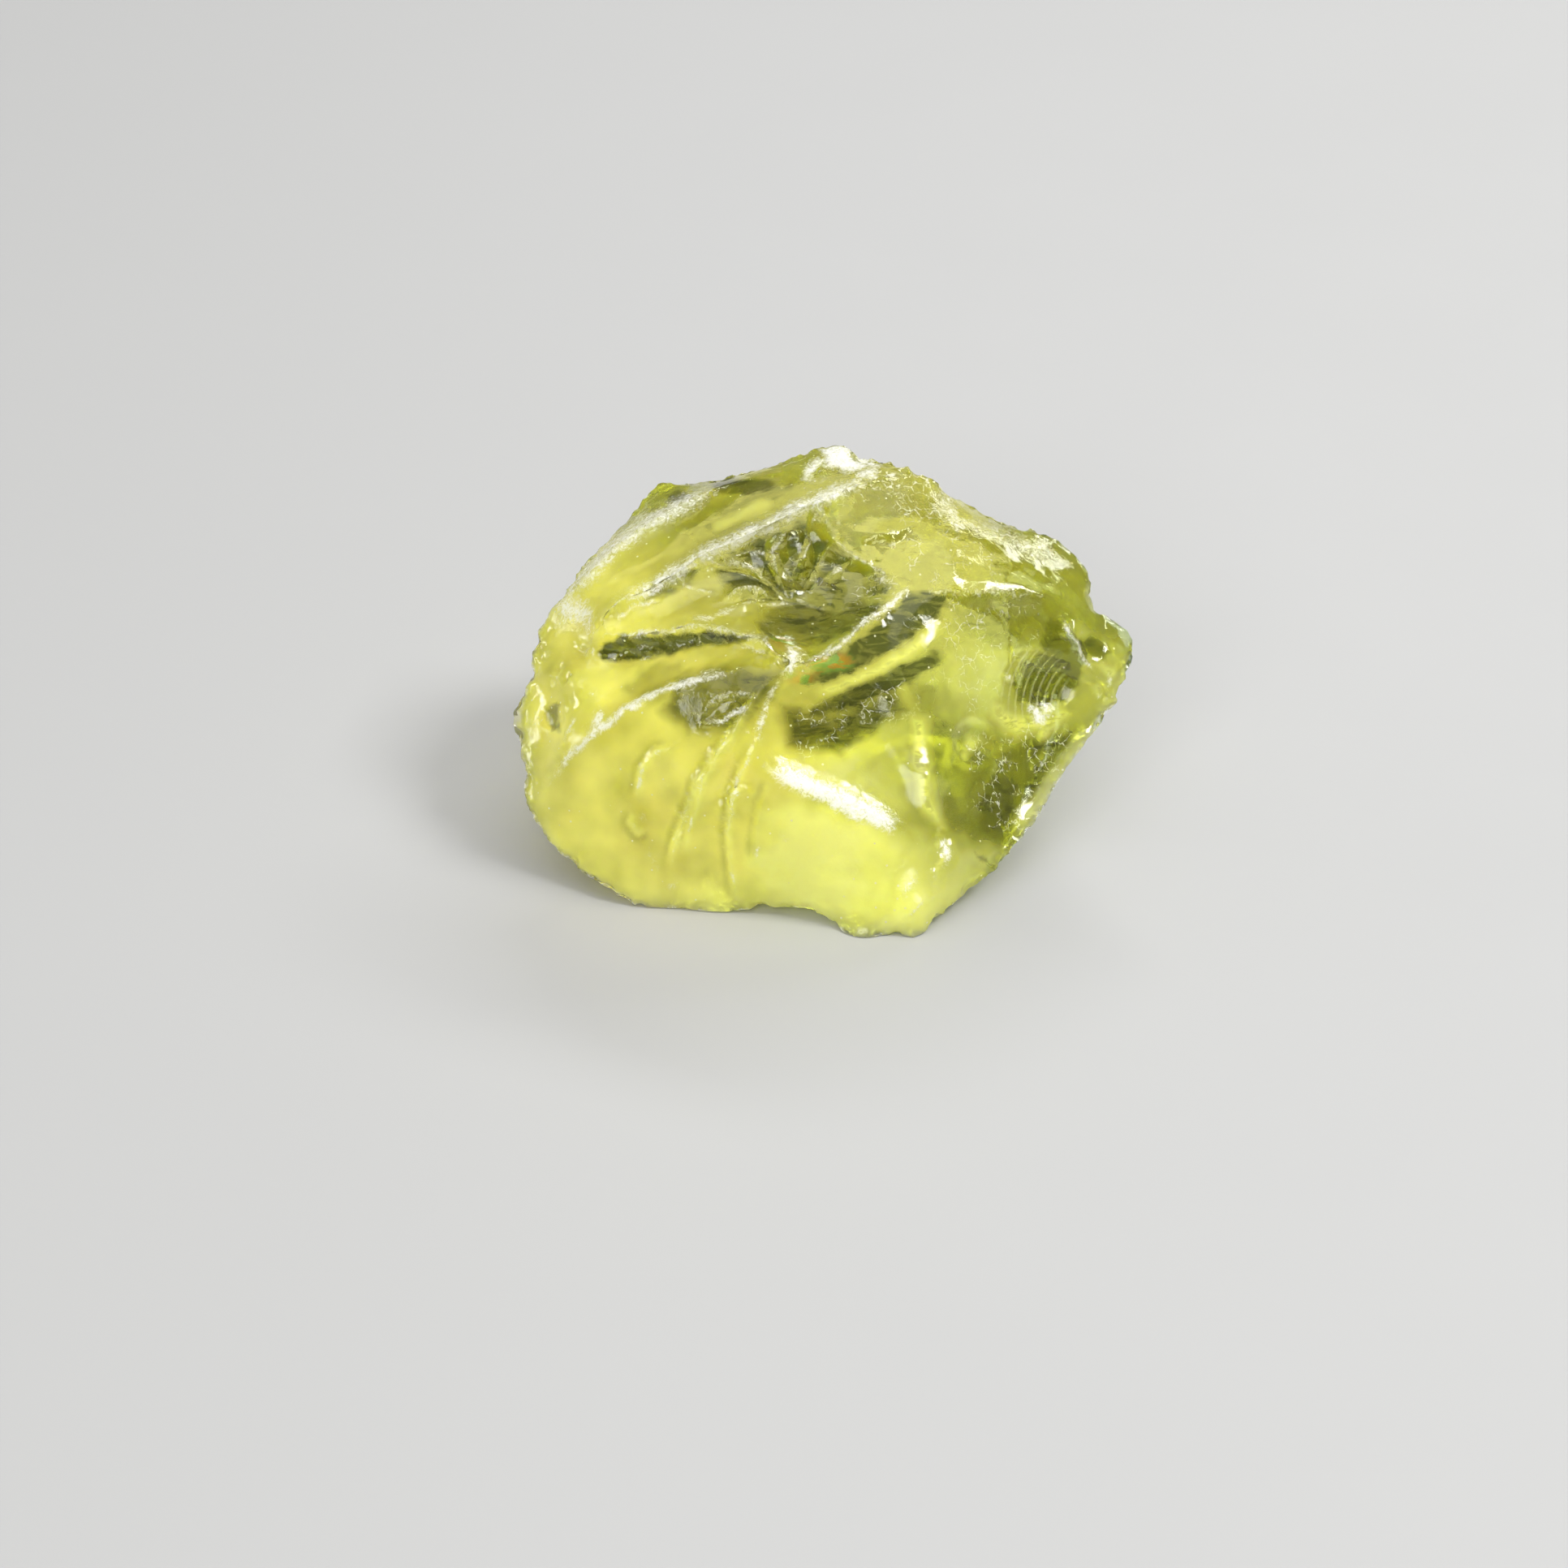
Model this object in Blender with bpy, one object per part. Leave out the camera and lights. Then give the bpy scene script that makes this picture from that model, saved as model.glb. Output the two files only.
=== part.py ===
"""A rough lump of prasiolite, a clear yellow-green quartz, broken all over in curved faces.

The stone is one solid. Its front is laid out as it is seen by an eye that looks down on it:
each point is millimetres across, up and out towards the eye. The back and the underside,
which the eye can't see, are laid out in the stone's own frame. Ridges are lines through
those points, the faces between them are films stretched from ridge to ridge, and each face is
then hollowed or swelled as a shell-like fracture is. The stone stands on a flat underside.
"""

import math

import bmesh
import bpy
import numpy as np
from mathutils import Matrix, Vector, noise
from mathutils.geometry import delaunay_2d_cdt

MM = 0.001
NODE_NAME = "raw_prasiolite"

# How the front is looked at
LOOK_DOWN = math.radians(32.0)
EYE_DISTANCE = 322.0
CENTRE_HEIGHT = 11.25

# How finely the faces are divided, in millimetres
PITCH = 1.05
RIDGE_STEP = 0.95
LONGEST_EDGE = 1.7
SHORTEST_EDGE = 0.05
CLEAR_OF_RIDGE = 0.6 * PITCH
JITTER = 0.25 * PITCH
SPLIT_PASSES = 3
STEP_SAMPLE = 0.5

# How many times the points between ridges are pulled to their neighbours: when the film is first
# stretched, after long edges are split, and while the depth of the faces is worked out
STRETCH_ROUNDS = 900
EVEN_OUT_ROUNDS = 60
CROWN_ROUNDS = 700

# The unevenness of a natural break, in millimetres
NOISE_SEED = 7
WAVE_LENGTH = 7.0
WAVE_HEIGHT = 0.22
RIDGE_WANDER = 0.16
RIDGE_WANDER_LENGTH = 2.6

# How soon a hollow or a swelling reaches its depth away from the ridges around it: smaller is sooner
CROWN_POWER = 0.75

# Edges sharper than this are shown as ridges
RIDGE_ANGLE = math.radians(24.0)

FREE, RIDGE, STEP = 0, 1, 2


def on_ground(across, up, lift=0.0):
    """A point of the front that is lift millimetres above the ground, as across, up and out."""
    rise, lean = math.cos(LOOK_DOWN), math.sin(LOOK_DOWN)
    out = (lift - CENTRE_HEIGHT - up * rise) / (lean - up * rise / EYE_DISTANCE)
    return (across, up, out)


def as_seen(x, y, z):
    """Across, up and out of a point given in the stone's own frame, in millimetres."""
    height = z - CENTRE_HEIGHT
    out = height * math.sin(LOOK_DOWN) - y * math.cos(LOOK_DOWN)
    up = y * math.sin(LOOK_DOWN) + height * math.cos(LOOK_DOWN)
    nearness = 1 - out / EYE_DISTANCE
    return (x / nearness, up / nearness, out)


def in_stone(across, up, out):
    """The same point in the stone's own frame: +X across, +Y away from the eye, +Z up."""
    nearness = 1 - out / EYE_DISTANCE
    across, up = across * nearness, up * nearness
    return Vector((
        across,
        up * math.sin(LOOK_DOWN) - out * math.cos(LOOK_DOWN),
        up * math.cos(LOOK_DOWN) + out * math.sin(LOOK_DOWN) + CENTRE_HEIGHT,
    ))


# Points where ridges meet each other or the outline
KNOTS = {
    "crest": (1.3, 18.1, -5.0),
    "crest_right": (3.2, 17.1, -3.8),
    "knob": (6.6, 16.2, -1.4),
    "knob_foot": (8.8, 14.5, -2.3),
    "shoulder": (16.8, 11.4, -3.2),
    "right_notch": (20.1, 6.0, -2.4),
    "under_tip": (21.4, -0.8, -1.2),
    "right_heel": (14.0, -11.9, 3.0),
    "toe": on_ground(6.8, -18.2),
    "toe_left": on_ground(4.4, -18.1),
    "foot_right": on_ground(1.6, -18.0),
    "foot_left": on_ground(-14.5, -15.7, 0.3),
    "left_bend": (-21.8, -9.0, 1.4),
    "left_notch": (-21.8, 1.0, -1.4),
    "left_shoulder": (-20.8, 5.1, -2.5),
    "left_peak": (-11.6, 15.4, -6.6),
    "left_crest": (-3.2, 16.8, -5.6),
    "right_side": (15.6, -9.8, 2.2),
    "left_side": (-20.5, -11.1, 2.2),
    "ledge_end": (-16.9, 4.4, 3.0),
    "v_tip": (-2.6, 1.8, 9.4),
    "hollow_corner": (6.1, 7.5, 5.2),
    "rim_top": (9.7, 12.1, 1.2),
    "face_corner": (17.3, 6.0, 1.2),
    "lower_corner": (8.6, -11.0, 7.4),
    "flank_top": (-17.2, -0.3, 5.0),
    "slot_end": (-17.2, 2.4, 2.6),
    "bend_root": (-20.3, -6.9, 3.4),
    "lobe_top": (-0.3, 14.2, 2.2),
}

# The edge of the stone as it is seen, clockwise from the crest
OUTLINE = [
    "crest", (2.4, 17.7, -4.4), "crest_right", (4.3, 17.1, -3.4), (5.3, 16.7, -2.4), "knob",
    (7.7, 15.8, -1.4), (8.4, 15.1, -1.8), "knob_foot", (10.6, 13.8, -3.4), (12.8, 12.7, -4.0),
    (15.1, 12.1, -4.0), "shoulder", (18.6, 9.9, -3.0), (19.4, 9.0, -2.8), (19.7, 8.0, -2.8),
    (19.6, 7.1, -2.6), "right_notch", (21.4, 5.2, -2.2), (22.5, 4.2, -2.0), (23.05, 3.2, -1.8),
    (22.9, 2.2, -1.6), (22.0, 0.7, -1.4), "under_tip", (19.7, -3.3, -0.4), (18.4, -5.0, 0.4),
    (17.3, -6.9, 1.0), (16.5, -8.4, 1.6), "right_side", "right_heel", (12.8, -13.3, 3.8),
    (11.2, -14.6, 4.6), (9.0, -16.4, 5.8), on_ground(7.6, -17.7, 0.2), "toe",
    on_ground(5.4, -17.8, 0.3), "toe_left", on_ground(3.0, -18.3), "foot_right",
    on_ground(0.7, -17.2, 0.3), on_ground(-0.8, -16.4, 0.7), on_ground(-2.9, -16.0, 0.8),
    on_ground(-6.1, -16.4, 0.1), on_ground(-8.6, -16.4), on_ground(-11.1, -16.1, 0.1),
    "foot_left", on_ground(-16.4, -14.7, 0.9), on_ground(-18.9, -12.8, 1.8), "left_side",
    "left_bend", (-22.2, -7.6, 1.0), (-22.0, -6.6, 0.8), (-22.4, -5.0, 0.4), (-23.0, -2.6, -0.2),
    (-23.0, -1.2, -0.6), (-22.3, -0.1, -1.0), "left_notch", (-21.7, 2.7, -1.8),
    (-21.1, 4.3, -2.2), "left_shoulder", (-19.7, 6.9, -3.0), (-18.0, 9.0, -4.0),
    (-16.4, 10.7, -4.8), (-14.5, 12.7, -5.6), (-13.3, 14.3, -6.2), (-12.3, 15.2, -6.6),
    "left_peak", (-9.5, 15.2, -6.6), (-7.2, 15.7, -6.2), (-4.9, 16.4, -6.0), "left_crest",
    (-1.7, 17.6, -5.4), (-0.1, 18.0, -5.2),
]

# The ridges of the front
FRONT_RIDGES = {
    "long_ridge": [
        "ledge_end", (-15.4, 6.4, 3.6), (-13.6, 7.1, 3.8), (-11.0, 8.6, 3.8), (-8.9, 10.0, 3.6),
        (-6.4, 11.1, 3.4), (-4.3, 12.1, 3.2), (-2.4, 13.2, 2.8), "lobe_top", (1.8, 15.1, 1.4),
        (3.8, 15.7, 0.4), "knob",
    ],
    "lobe_edge": [
        "lobe_top", (0.1, 12.6, 2.7), (0.8, 11.0, 3.3), (2.3, 9.9, 3.9), (4.3, 8.8, 4.6),
        "hollow_corner",
    ],
    "ledge_rim": [
        "ledge_end", (-15.2, 3.9, 4.0), (-13.0, 4.1, 5.0), (-10.1, 4.6, 6.2), (-7.9, 4.5, 7.2),
        (-5.7, 3.9, 8.2), (-4.7, 3.7, 8.6), (-3.8, 2.8, 9.0), "v_tip",
    ],
    "v_rim": [
        "v_tip", (-1.5, 2.0, 9.2), (-0.1, 2.5, 8.8), (1.7, 4.0, 7.8), (3.4, 5.3, 6.8),
        (5.0, 6.5, 5.8), "hollow_corner",
    ],
    "hollow_right_rim": ["hollow_corner", (7.6, 9.8, 3.6), "rim_top", (9.9, 13.2, -0.4), "knob_foot"],
    "slot_floor": [
        "ledge_end", "slot_end", (-14.2, 2.0, 3.4), (-11.9, 2.6, 4.8), (-8.9, 3.1, 6.2),
        (-6.4, 3.3, 7.4), (-4.4, 2.6, 8.5), "v_tip",
    ],
    "upper_fold": [
        "left_shoulder", (-18.6, 7.4, -0.9), (-15.5, 10.6, -1.0), (-13.3, 12.2, -1.2),
        (-10.8, 13.5, -1.9), (-8.3, 14.7, -2.9), (-6.1, 15.4, -3.6), (-4.6, 15.8, -3.8),
        (-3.2, 15.9, -3.4), (-1.0, 15.9, -2.5), (1.4, 16.3, -2.2), (2.6, 16.8, -3.0), "crest_right",
    ],
    "crest_chip": [(-3.2, 15.9, -3.4), "left_crest"],
    "bend_fold": [
        "left_bend", "bend_root", (-19.0, -5.2, 4.7), (-17.3, -3.5, 6.0), (-15.3, -1.9, 7.1),
        (-13.3, -0.7, 7.9), (-11.3, 0.2, 8.5), (-9.2, 0.8, 8.9), (-6.7, 1.4, 9.3),
        (-4.6, 1.7, 9.5), "v_tip",
    ],
    "flank_line": ["bend_root", (-19.4, -4.4, 4.3), (-18.4, -2.2, 4.8), "flank_top"],
    "flank_upper": ["flank_top", (-18.8, 0.7, 3.0), (-20.4, 1.1, 0.8), "left_notch"],
    "spine": [
        "v_tip", (-3.8, 0.2, 10.0), (-4.5, -1.6, 10.2), (-4.8, -3.2, 10.1), (-4.7, -4.6, 10.0),
        (-3.9, -5.7, 9.9), (-2.1, -6.7, 9.8), (0.0, -7.6, 9.6), (2.3, -8.6, 9.2),
        (4.6, -9.7, 8.7), (6.8, -10.6, 8.1), "lower_corner",
    ],
    "lower_edge": ["lower_corner", (10.4, -11.3, 6.3), (12.4, -11.6, 4.6), "right_heel"],
    "toe_ridge": ["lower_corner", (8.2, -13.6, 8.2), (7.0, -16.0, 8.3), "toe_left"],
    "scoop_edge": [
        "hollow_corner", (7.2, 4.8, 6.2), (8.0, 2.2, 7.0), (7.9, -0.3, 7.6), (7.5, -2.8, 8.0),
        (7.5, -5.3, 8.2), (7.9, -8.2, 8.0), "lower_corner",
    ],
    "shoulder_fold": [
        "rim_top", (11.0, 12.3, 0.2), (12.3, 12.0, -0.6), (13.8, 11.4, -1.0), (15.4, 11.1, -1.8),
        "shoulder",
    ],
    "scoop_brow": [
        "hollow_corner", (7.8, 7.4, 4.8), (9.8, 7.2, 4.4), (12.8, 7.4, 3.2), (15.6, 7.1, 2.0),
        "face_corner",
    ],
    "brow_end": ["face_corner", (18.8, 6.1, -0.4), "right_notch"],
    "tip_line": ["face_corner", (18.2, 4.3, 1.2), (19.1, 2.6, 0.8), (20.1, 1.1, 0.0), "under_tip"],
}

# Low steps on the front that don't part its faces: (height in millimetres, points across and up)
FRONT_STEPS = {
    "long_hackle": (0.34, [
        (-4.9, 0.7), (-6.1, -1.5), (-7.3, -3.6), (-8.6, -5.6), (-9.7, -7.4), (-10.3, -9.4),
        (-10.9, -11.2), (-11.4, -13.4),
    ]),
    "short_hackle": (0.30, [
        (-5.9, -4.6), (-6.4, -6.6), (-6.8, -8.6), (-7.0, -10.6), (-7.1, -12.8), (-7.1, -14.7),
    ]),
    "left_hackle": (0.22, [(-9.4, -3.0), (-11.3, -4.2), (-12.6, -6.0), (-12.9, -8.2)]),
    "hollow_step": (0.7, [
        (-9.7, 6.3), (-8.4, 5.9), (-6.9, 6.0), (-5.2, 6.6), (-3.4, 7.2), (-1.4, 7.3), (0.6, 6.7),
        (1.9, 5.9),
    ]),
    "hollow_blade": (0.6, [(-2.2, 12.0), (-1.8, 10.4), (-1.9, 8.9), (-2.2, 7.9)]),
    "left_blade": (0.5, [(-5.4, 10.4), (-4.4, 9.4), (-3.8, 8.3)]),
    "right_blade": (0.5, [(1.6, 8.9), (0.4, 8.5), (-0.6, 7.8)]),
    "knob_crack": (0.5, [(2.0, 11.8), (3.4, 11.7), (5.3, 11.8), (7.4, 12.2)]),
    "scoop_rib": (0.35, [(10.4, 4.2), (12.8, 2.2), (15.0, -0.6), (16.4, -3.4)]),
    "shoulder_step": (0.35, [(9.6, 9.5), (12.0, 9.6), (14.6, 9.3), (16.9, 8.6)]),
}

# Points of the back and the underside, in the stone's own frame. Those of the underside start a
# little below the ground and are cut off level with it.
BELOW = -0.5
BACK_KNOTS = {
    "heel_left": as_seen(-11.0, -10.4, BELOW),
    "heel_side": as_seen(-14.2, -3.0, BELOW),
    "heel_back_left": as_seen(-9.5, 7.0, BELOW),
    "heel_back_right": as_seen(6.5, 8.5, BELOW),
    "heel_right": as_seen(11.5, -0.5, BELOW),
    "heel_front": as_seen(6.4, -13.4, BELOW),
    "flank_back": as_seen(-17.0, 9.5, 8.5),
    "back_left": as_seen(-8.0, 16.0, 9.5),
    "back_middle": as_seen(1.5, 18.2, 11.0),
    "back_right": as_seen(11.0, 15.2, 8.5),
    "side_right": as_seen(17.6, 8.0, 8.0),
    "top_left": as_seen(-10.0, 15.6, 16.6),
    "top_middle": as_seen(0.5, 17.4, 18.6),
    "top_right": as_seen(10.6, 14.2, 15.6),
}

BACK_RIDGES = {
    "underside": [
        "heel_left", "heel_side", as_seen(-13.0, 3.0, BELOW), "heel_back_left",
        as_seen(-1.0, 9.4, BELOW), "heel_back_right", as_seen(10.6, 4.6, BELOW),
        "heel_right", as_seen(9.4, -8.0, BELOW), "heel_front", as_seen(2.2, -12.8, BELOW),
        as_seen(-3.6, -10.0, BELOW), "heel_left",
    ],
    "heel_to_left_side": ["heel_side", "left_side"],
    "heel_to_back": ["heel_back_left", as_seen(-9.4, 12.2, 4.0), "back_left"],
    "heel_to_right_back": ["heel_back_right", as_seen(9.6, 12.6, 3.6), "back_right"],
    "heel_to_right_side": ["heel_right", as_seen(15.6, 1.0, 3.4), "side_right"],
    "left_belt": ["left_notch", as_seen(-19.6, 6.6, 9.6), "flank_back"],
    "flank_belt": ["flank_back", as_seen(-12.6, 13.6, 8.2), "back_left"],
    "back_belt": ["back_left", as_seen(-3.4, 17.9, 10.8), "back_middle"],
    "right_belt": ["back_middle", as_seen(6.4, 17.4, 9.2), "back_right"],
    "side_belt": ["back_right", as_seen(15.0, 12.2, 7.2), "side_right"],
    "tip_belt": ["side_right", as_seen(20.0, 4.4, 9.2), "under_tip"],
    "left_rib": ["flank_back", as_seen(-14.6, 12.6, 13.0), "top_left"],
    "back_rib": ["back_left", as_seen(-9.6, 16.4, 13.4), "top_left"],
    "peak_rib": ["top_left", "left_peak"],
    "middle_rib": ["back_middle", as_seen(0.4, 18.2, 15.0), "top_middle"],
    "crest_rib": ["top_middle", "crest"],
    "right_rib": ["back_right", as_seen(11.6, 15.2, 12.4), "top_right"],
    "shoulder_rib": ["top_right", as_seen(13.6, 11.4, 17.4), (15.1, 12.1, -4.0)],
}

# How far each face swells out, or is hollowed where negative, at its middle: (amount, a point
# of the face across and up)
FRONT_FACES = {
    "main_face": (1.0, (-12.0, -7.0)),
    "middle_face": (-1.1, (1.5, -2.5)),
    "scoop": (-2.0, (13.5, -2.5)),
    "toe_face": (0.5, (9.6, -14.0)),
    "central_hollow": (-3.6, (-4.0, 9.0)),
    "lobe_face": (0.5, (5.5, 12.9)),
    "slot": (-0.5, (-14.0, 3.2)),
    "ledge_face": (-0.4, (-12.0, 1.4)),
    "inner_band": (-0.6, (-8.0, 12.3)),
    "outer_band": (0.4, (-14.5, 12.0)),
    "crest_face": (0.3, (0.5, 17.2)),
    "flank": (-0.5, (-20.8, -2.0)),
    "shoulder_face": (0.7, (12.5, 9.6)),
    "shoulder_top": (0.2, (13.0, 12.35)),
    "tip_face": (0.4, (21.2, 2.6)),
}
BACK_FACES = {
    "left_under": (-0.9, (-17.5, -9.0)),
    "left_under_back": (-0.8, (-17.5, -4.0)),
    "back_under": (-1.2, (-1.0, 2.0)),
    "right_under": (-0.9, (11.5, -2.0)),
    "right_under_front": (-0.8, (14.0, -9.6)),
    "upper_left": (-0.7, (-16.5, 8.0)),
    "upper_back_left": (-0.6, (-4.5, 12.0)),
    "upper_back_right": (-0.6, (6.5, 12.0)),
    "upper_right": (-0.9, (17.5, 6.0)),
}


def point_of(item):
    """A knot by its name, or a point as it is."""
    if isinstance(item, str):
        return KNOTS.get(item) or BACK_KNOTS[item]
    return item


def curve_through(items, step, closed=False):
    """A smooth curve through the points, with a point about every step millimetres."""
    points = [Vector(point_of(item)) for item in items]
    count = len(points)
    spans = count if closed else count - 1
    curve = []
    for i in range(spans):
        if closed:
            before, start, end, after = (points[(i + k) % count] for k in (-1, 0, 1, 2))
        else:
            start, end = points[i], points[i + 1]
            before = points[i - 1] if i else 2 * start - end
            after = points[i + 2] if i + 2 < count else 2 * end - start
        span = end - start
        reach = span.length
        leave = limited(end - before, reach)
        arrive = limited(after - start, reach)
        pieces = max(1, round(reach / step))
        for k in range(pieces):
            t = k / pieces
            curve.append(
                start
                + span * (t * t * (3 - 2 * t))
                + leave * (t * (1 - t) ** 2)
                + arrive * (t * t * (t - 1))
            )
    if not closed:
        curve.append(points[-1])
    return curve


def limited(direction, reach):
    """A curve's slope at a point: along direction, with the length of the span it serves."""
    return direction.normalized() * reach if direction.length > 0 else direction


def wandered(curve):
    """The curve with small bends in it, as a broken edge has. Curves that meet still meet."""
    return [p + noise.noise_vector(p / RIDGE_WANDER_LENGTH) * RIDGE_WANDER for p in curve]


class Layout:
    """One side of the stone as flat points and the lines that its triangles keep to."""

    def __init__(self):
        self.points = []
        self.index = {}
        self.lines = []

    def add(self, p):
        key = (round(p[0], 3), round(p[1], 3))
        if key not in self.index:
            self.index[key] = len(self.points)
            self.points.append(Vector(p))
        return self.index[key]

    def add_line(self, curve, kind, closed=False):
        ids = [self.add(p) for p in curve]
        if closed:
            ids.append(ids[0])
        self.lines += [(a, b, kind) for a, b in zip(ids, ids[1:]) if a != b]


def inside(outline, x, y):
    """True if the flat point is inside the outline."""
    crossings = 0
    for a, b in zip(outline, outline[1:] + outline[:1]):
        if (a.y > y) != (b.y > y) and x < a.x + (y - a.y) * (b.x - a.x) / (b.y - a.y):
            crossings += 1
    return crossings % 2 == 1


def fill_points(layout, outline):
    """Evenly spaced points between the lines."""
    taken = np.array([p[:2] for p in layout.points])
    low, high = taken.min(0), taken.max(0)
    row_height = PITCH * math.sqrt(3) / 2
    for row in range(math.ceil((high[1] - low[1]) / row_height)):
        y = low[1] + row * row_height
        for column in range(math.ceil((high[0] - low[0]) / PITCH) + 1):
            x = low[0] + (column + 0.5 * (row % 2)) * PITCH
            jitter = noise.noise_vector(Vector((x, y, 0.0))) * JITTER
            place = np.array((x + jitter.x, y + jitter.y))
            near = np.hypot(*(taken - place).T).min()
            if near > CLEAR_OF_RIDGE and inside(outline, *place):
                layout.add((place[0], place[1], 0.0))


def triangulated(layout, outline_count):
    """The side's triangles, as triples of the layout's point numbers."""
    flat = [p.to_2d() for p in layout.points]
    edges = [(a, b) for a, b, _ in layout.lines]
    rim = list(range(outline_count))
    made = delaunay_2d_cdt(flat, edges, [rim], 1, 1e-5)
    origin = made[3]
    crossings = [tuple(round(c, 1) for c in p) for p, ids in zip(made[0], origin) if not ids]
    if crossings:
        raise ValueError(f"ridges cross away from a knot, at {crossings}")
    return [tuple(origin[v][0] for v in face) for face in made[2]]


class Skin:
    """The stone's surface while it is shaped: points, triangles and the kind of each line."""

    def __init__(self):
        self.mesh = bmesh.new()
        self.kind = self.mesh.edges.layers.int.new("kind")
        self.side = self.mesh.verts.layers.int.new("side")

    def add_side(self, layout, faces, outline_verts, side):
        verts = list(outline_verts)
        for p in layout.points[len(verts):]:
            v = self.mesh.verts.new(p)
            v[self.side] = side
            verts.append(v)
        for face in faces:
            loop = [verts[i] for i in face]
            if (loop[1].co - loop[0].co).to_2d().cross((loop[2].co - loop[0].co).to_2d()) * side < 0:
                loop.reverse()
            self.mesh.faces.new(loop)
        for a, b, kind in layout.lines:
            edge = self.mesh.edges.get((verts[a], verts[b]))
            edge[self.kind] = kind

    def arrays(self):
        """Points, edge ends and the strongest kind of line that each point is on."""
        self.mesh.verts.index_update()
        points = np.array([v.co for v in self.mesh.verts])
        ends = np.array([[v.index for v in e.verts] for e in self.mesh.edges])
        kinds = np.array([e[self.kind] for e in self.mesh.edges])
        held = np.zeros(len(points), int)
        for kind in (STEP, RIDGE):
            held[ends[kinds == kind].ravel()] = kind
        return points, ends, held

    def write(self, points):
        for v, p in zip(self.mesh.verts, points):
            v.co = p


def neighbour_mean(values, ends):
    """The mean of each point's neighbours."""
    first, second = ends.T
    size = len(values)
    count = np.bincount(first, minlength=size) + np.bincount(second, minlength=size)
    total = np.stack(
        [
            np.bincount(first, column[second], size) + np.bincount(second, column[first], size)
            for column in values.T
        ],
        axis=1,
    )
    return total / count[:, None]


def stretch(values, ends, free, rounds):
    """Pulls the free points to the mean of their neighbours, as a film between ridges is."""
    for _ in range(rounds):
        values[free] = neighbour_mean(values, ends)[free]
    return values


def laid_out_skin():
    """Both sides of the stone, still as the eye sees them, meeting along the outline."""
    outline = wandered(curve_through(OUTLINE, RIDGE_STEP, closed=True))
    skin = Skin()
    outline_verts = [skin.mesh.verts.new(p) for p in outline]
    for ridges, steps, side in ((FRONT_RIDGES, FRONT_STEPS, 1), (BACK_RIDGES, {}, -1)):
        layout = Layout()
        layout.add_line(outline, RIDGE, closed=True)
        for items in ridges.values():
            layout.add_line(wandered(curve_through(items, RIDGE_STEP)), RIDGE)
        for _, items in steps.values():
            flat = [(across, up, 0.0) for across, up in items]
            layout.add_line(wandered(curve_through(flat, RIDGE_STEP)), STEP)
        fill_points(layout, outline)
        faces = triangulated(layout, len(outline))
        skin.add_side(layout, faces, outline_verts, side)
    points, ends, held = skin.arrays()
    heights = stretch(points[:, 2:].copy(), ends, held != RIDGE, STRETCH_ROUNDS)
    points[:, 2] = heights[:, 0]
    skin.write(points)
    return skin


def even_out(skin):
    """Takes the skin into the stone's own frame and splits its long edges where it is steep."""
    for v in skin.mesh.verts:
        v.co = in_stone(*v.co)
    for _ in range(SPLIT_PASSES):
        long_edges = [e for e in skin.mesh.edges if e.calc_length() > LONGEST_EDGE]
        bmesh.ops.subdivide_edges(skin.mesh, edges=long_edges, cuts=1)
        bmesh.ops.triangulate(skin.mesh, faces=[f for f in skin.mesh.faces if len(f.verts) > 3])
        soft = [e for e in skin.mesh.edges if e[skin.kind] == FREE]
        bmesh.ops.beautify_fill(skin.mesh, faces=skin.mesh.faces[:], edges=soft, method="ANGLE")
        points, ends, held = skin.arrays()
        skin.write(stretch(points, ends, held == FREE, EVEN_OUT_ROUNDS))


def faces_by_patch(skin):
    """The number of the patch that each face is in; ridges part the patches."""
    skin.mesh.faces.index_update()
    patch = np.full(len(skin.mesh.faces), -1)
    number = 0
    for seed in skin.mesh.faces:
        if patch[seed.index] >= 0:
            continue
        patch[seed.index] = number
        waiting = [seed]
        while waiting:
            face = waiting.pop()
            for edge in face.edges:
                if edge[skin.kind] == RIDGE:
                    continue
                for other in edge.link_faces:
                    if patch[other.index] < 0:
                        patch[other.index] = number
                        waiting.append(other)
        number += 1
    return patch


def pushed(point, distance):
    """The point moved towards the eye along its line of sight, by a distance in millimetres."""
    across, up, out = as_seen(*point)
    return in_stone(across, up, out + distance)


def swell(skin):
    """Hollows or swells each named face of the stone along the line of sight."""
    patch = faces_by_patch(skin)
    points, ends, held = skin.arrays()
    free = held != RIDGE
    crown = np.zeros((len(points), 1))
    for _ in range(CROWN_ROUNDS):
        crown[free] = neighbour_mean(crown, ends)[free] + 1.0
    middles = np.array([as_seen(*f.calc_center_median())[:2] for f in skin.mesh.faces])
    sides = np.array([sum(v[skin.side] for v in f.verts) for f in skin.mesh.faces])
    moved = points.copy()
    for faces, side in ((FRONT_FACES, 1), (BACK_FACES, -1)):
        for amount, spot in faces.values():
            away = np.hypot(*(middles - np.array(spot)).T)
            chosen = patch[np.where(sides * side > 0, away, np.inf).argmin()]
            inner = sorted({
                v.index
                for f in skin.mesh.faces if patch[f.index] == chosen
                for v in f.verts if free[v.index]
            })
            deepest = crown[inner].max()
            for i in inner:
                share = (crown[i, 0] / deepest) ** CROWN_POWER
                moved[i] = pushed(points[i], side * amount * share)
    skin.write(moved)


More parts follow.
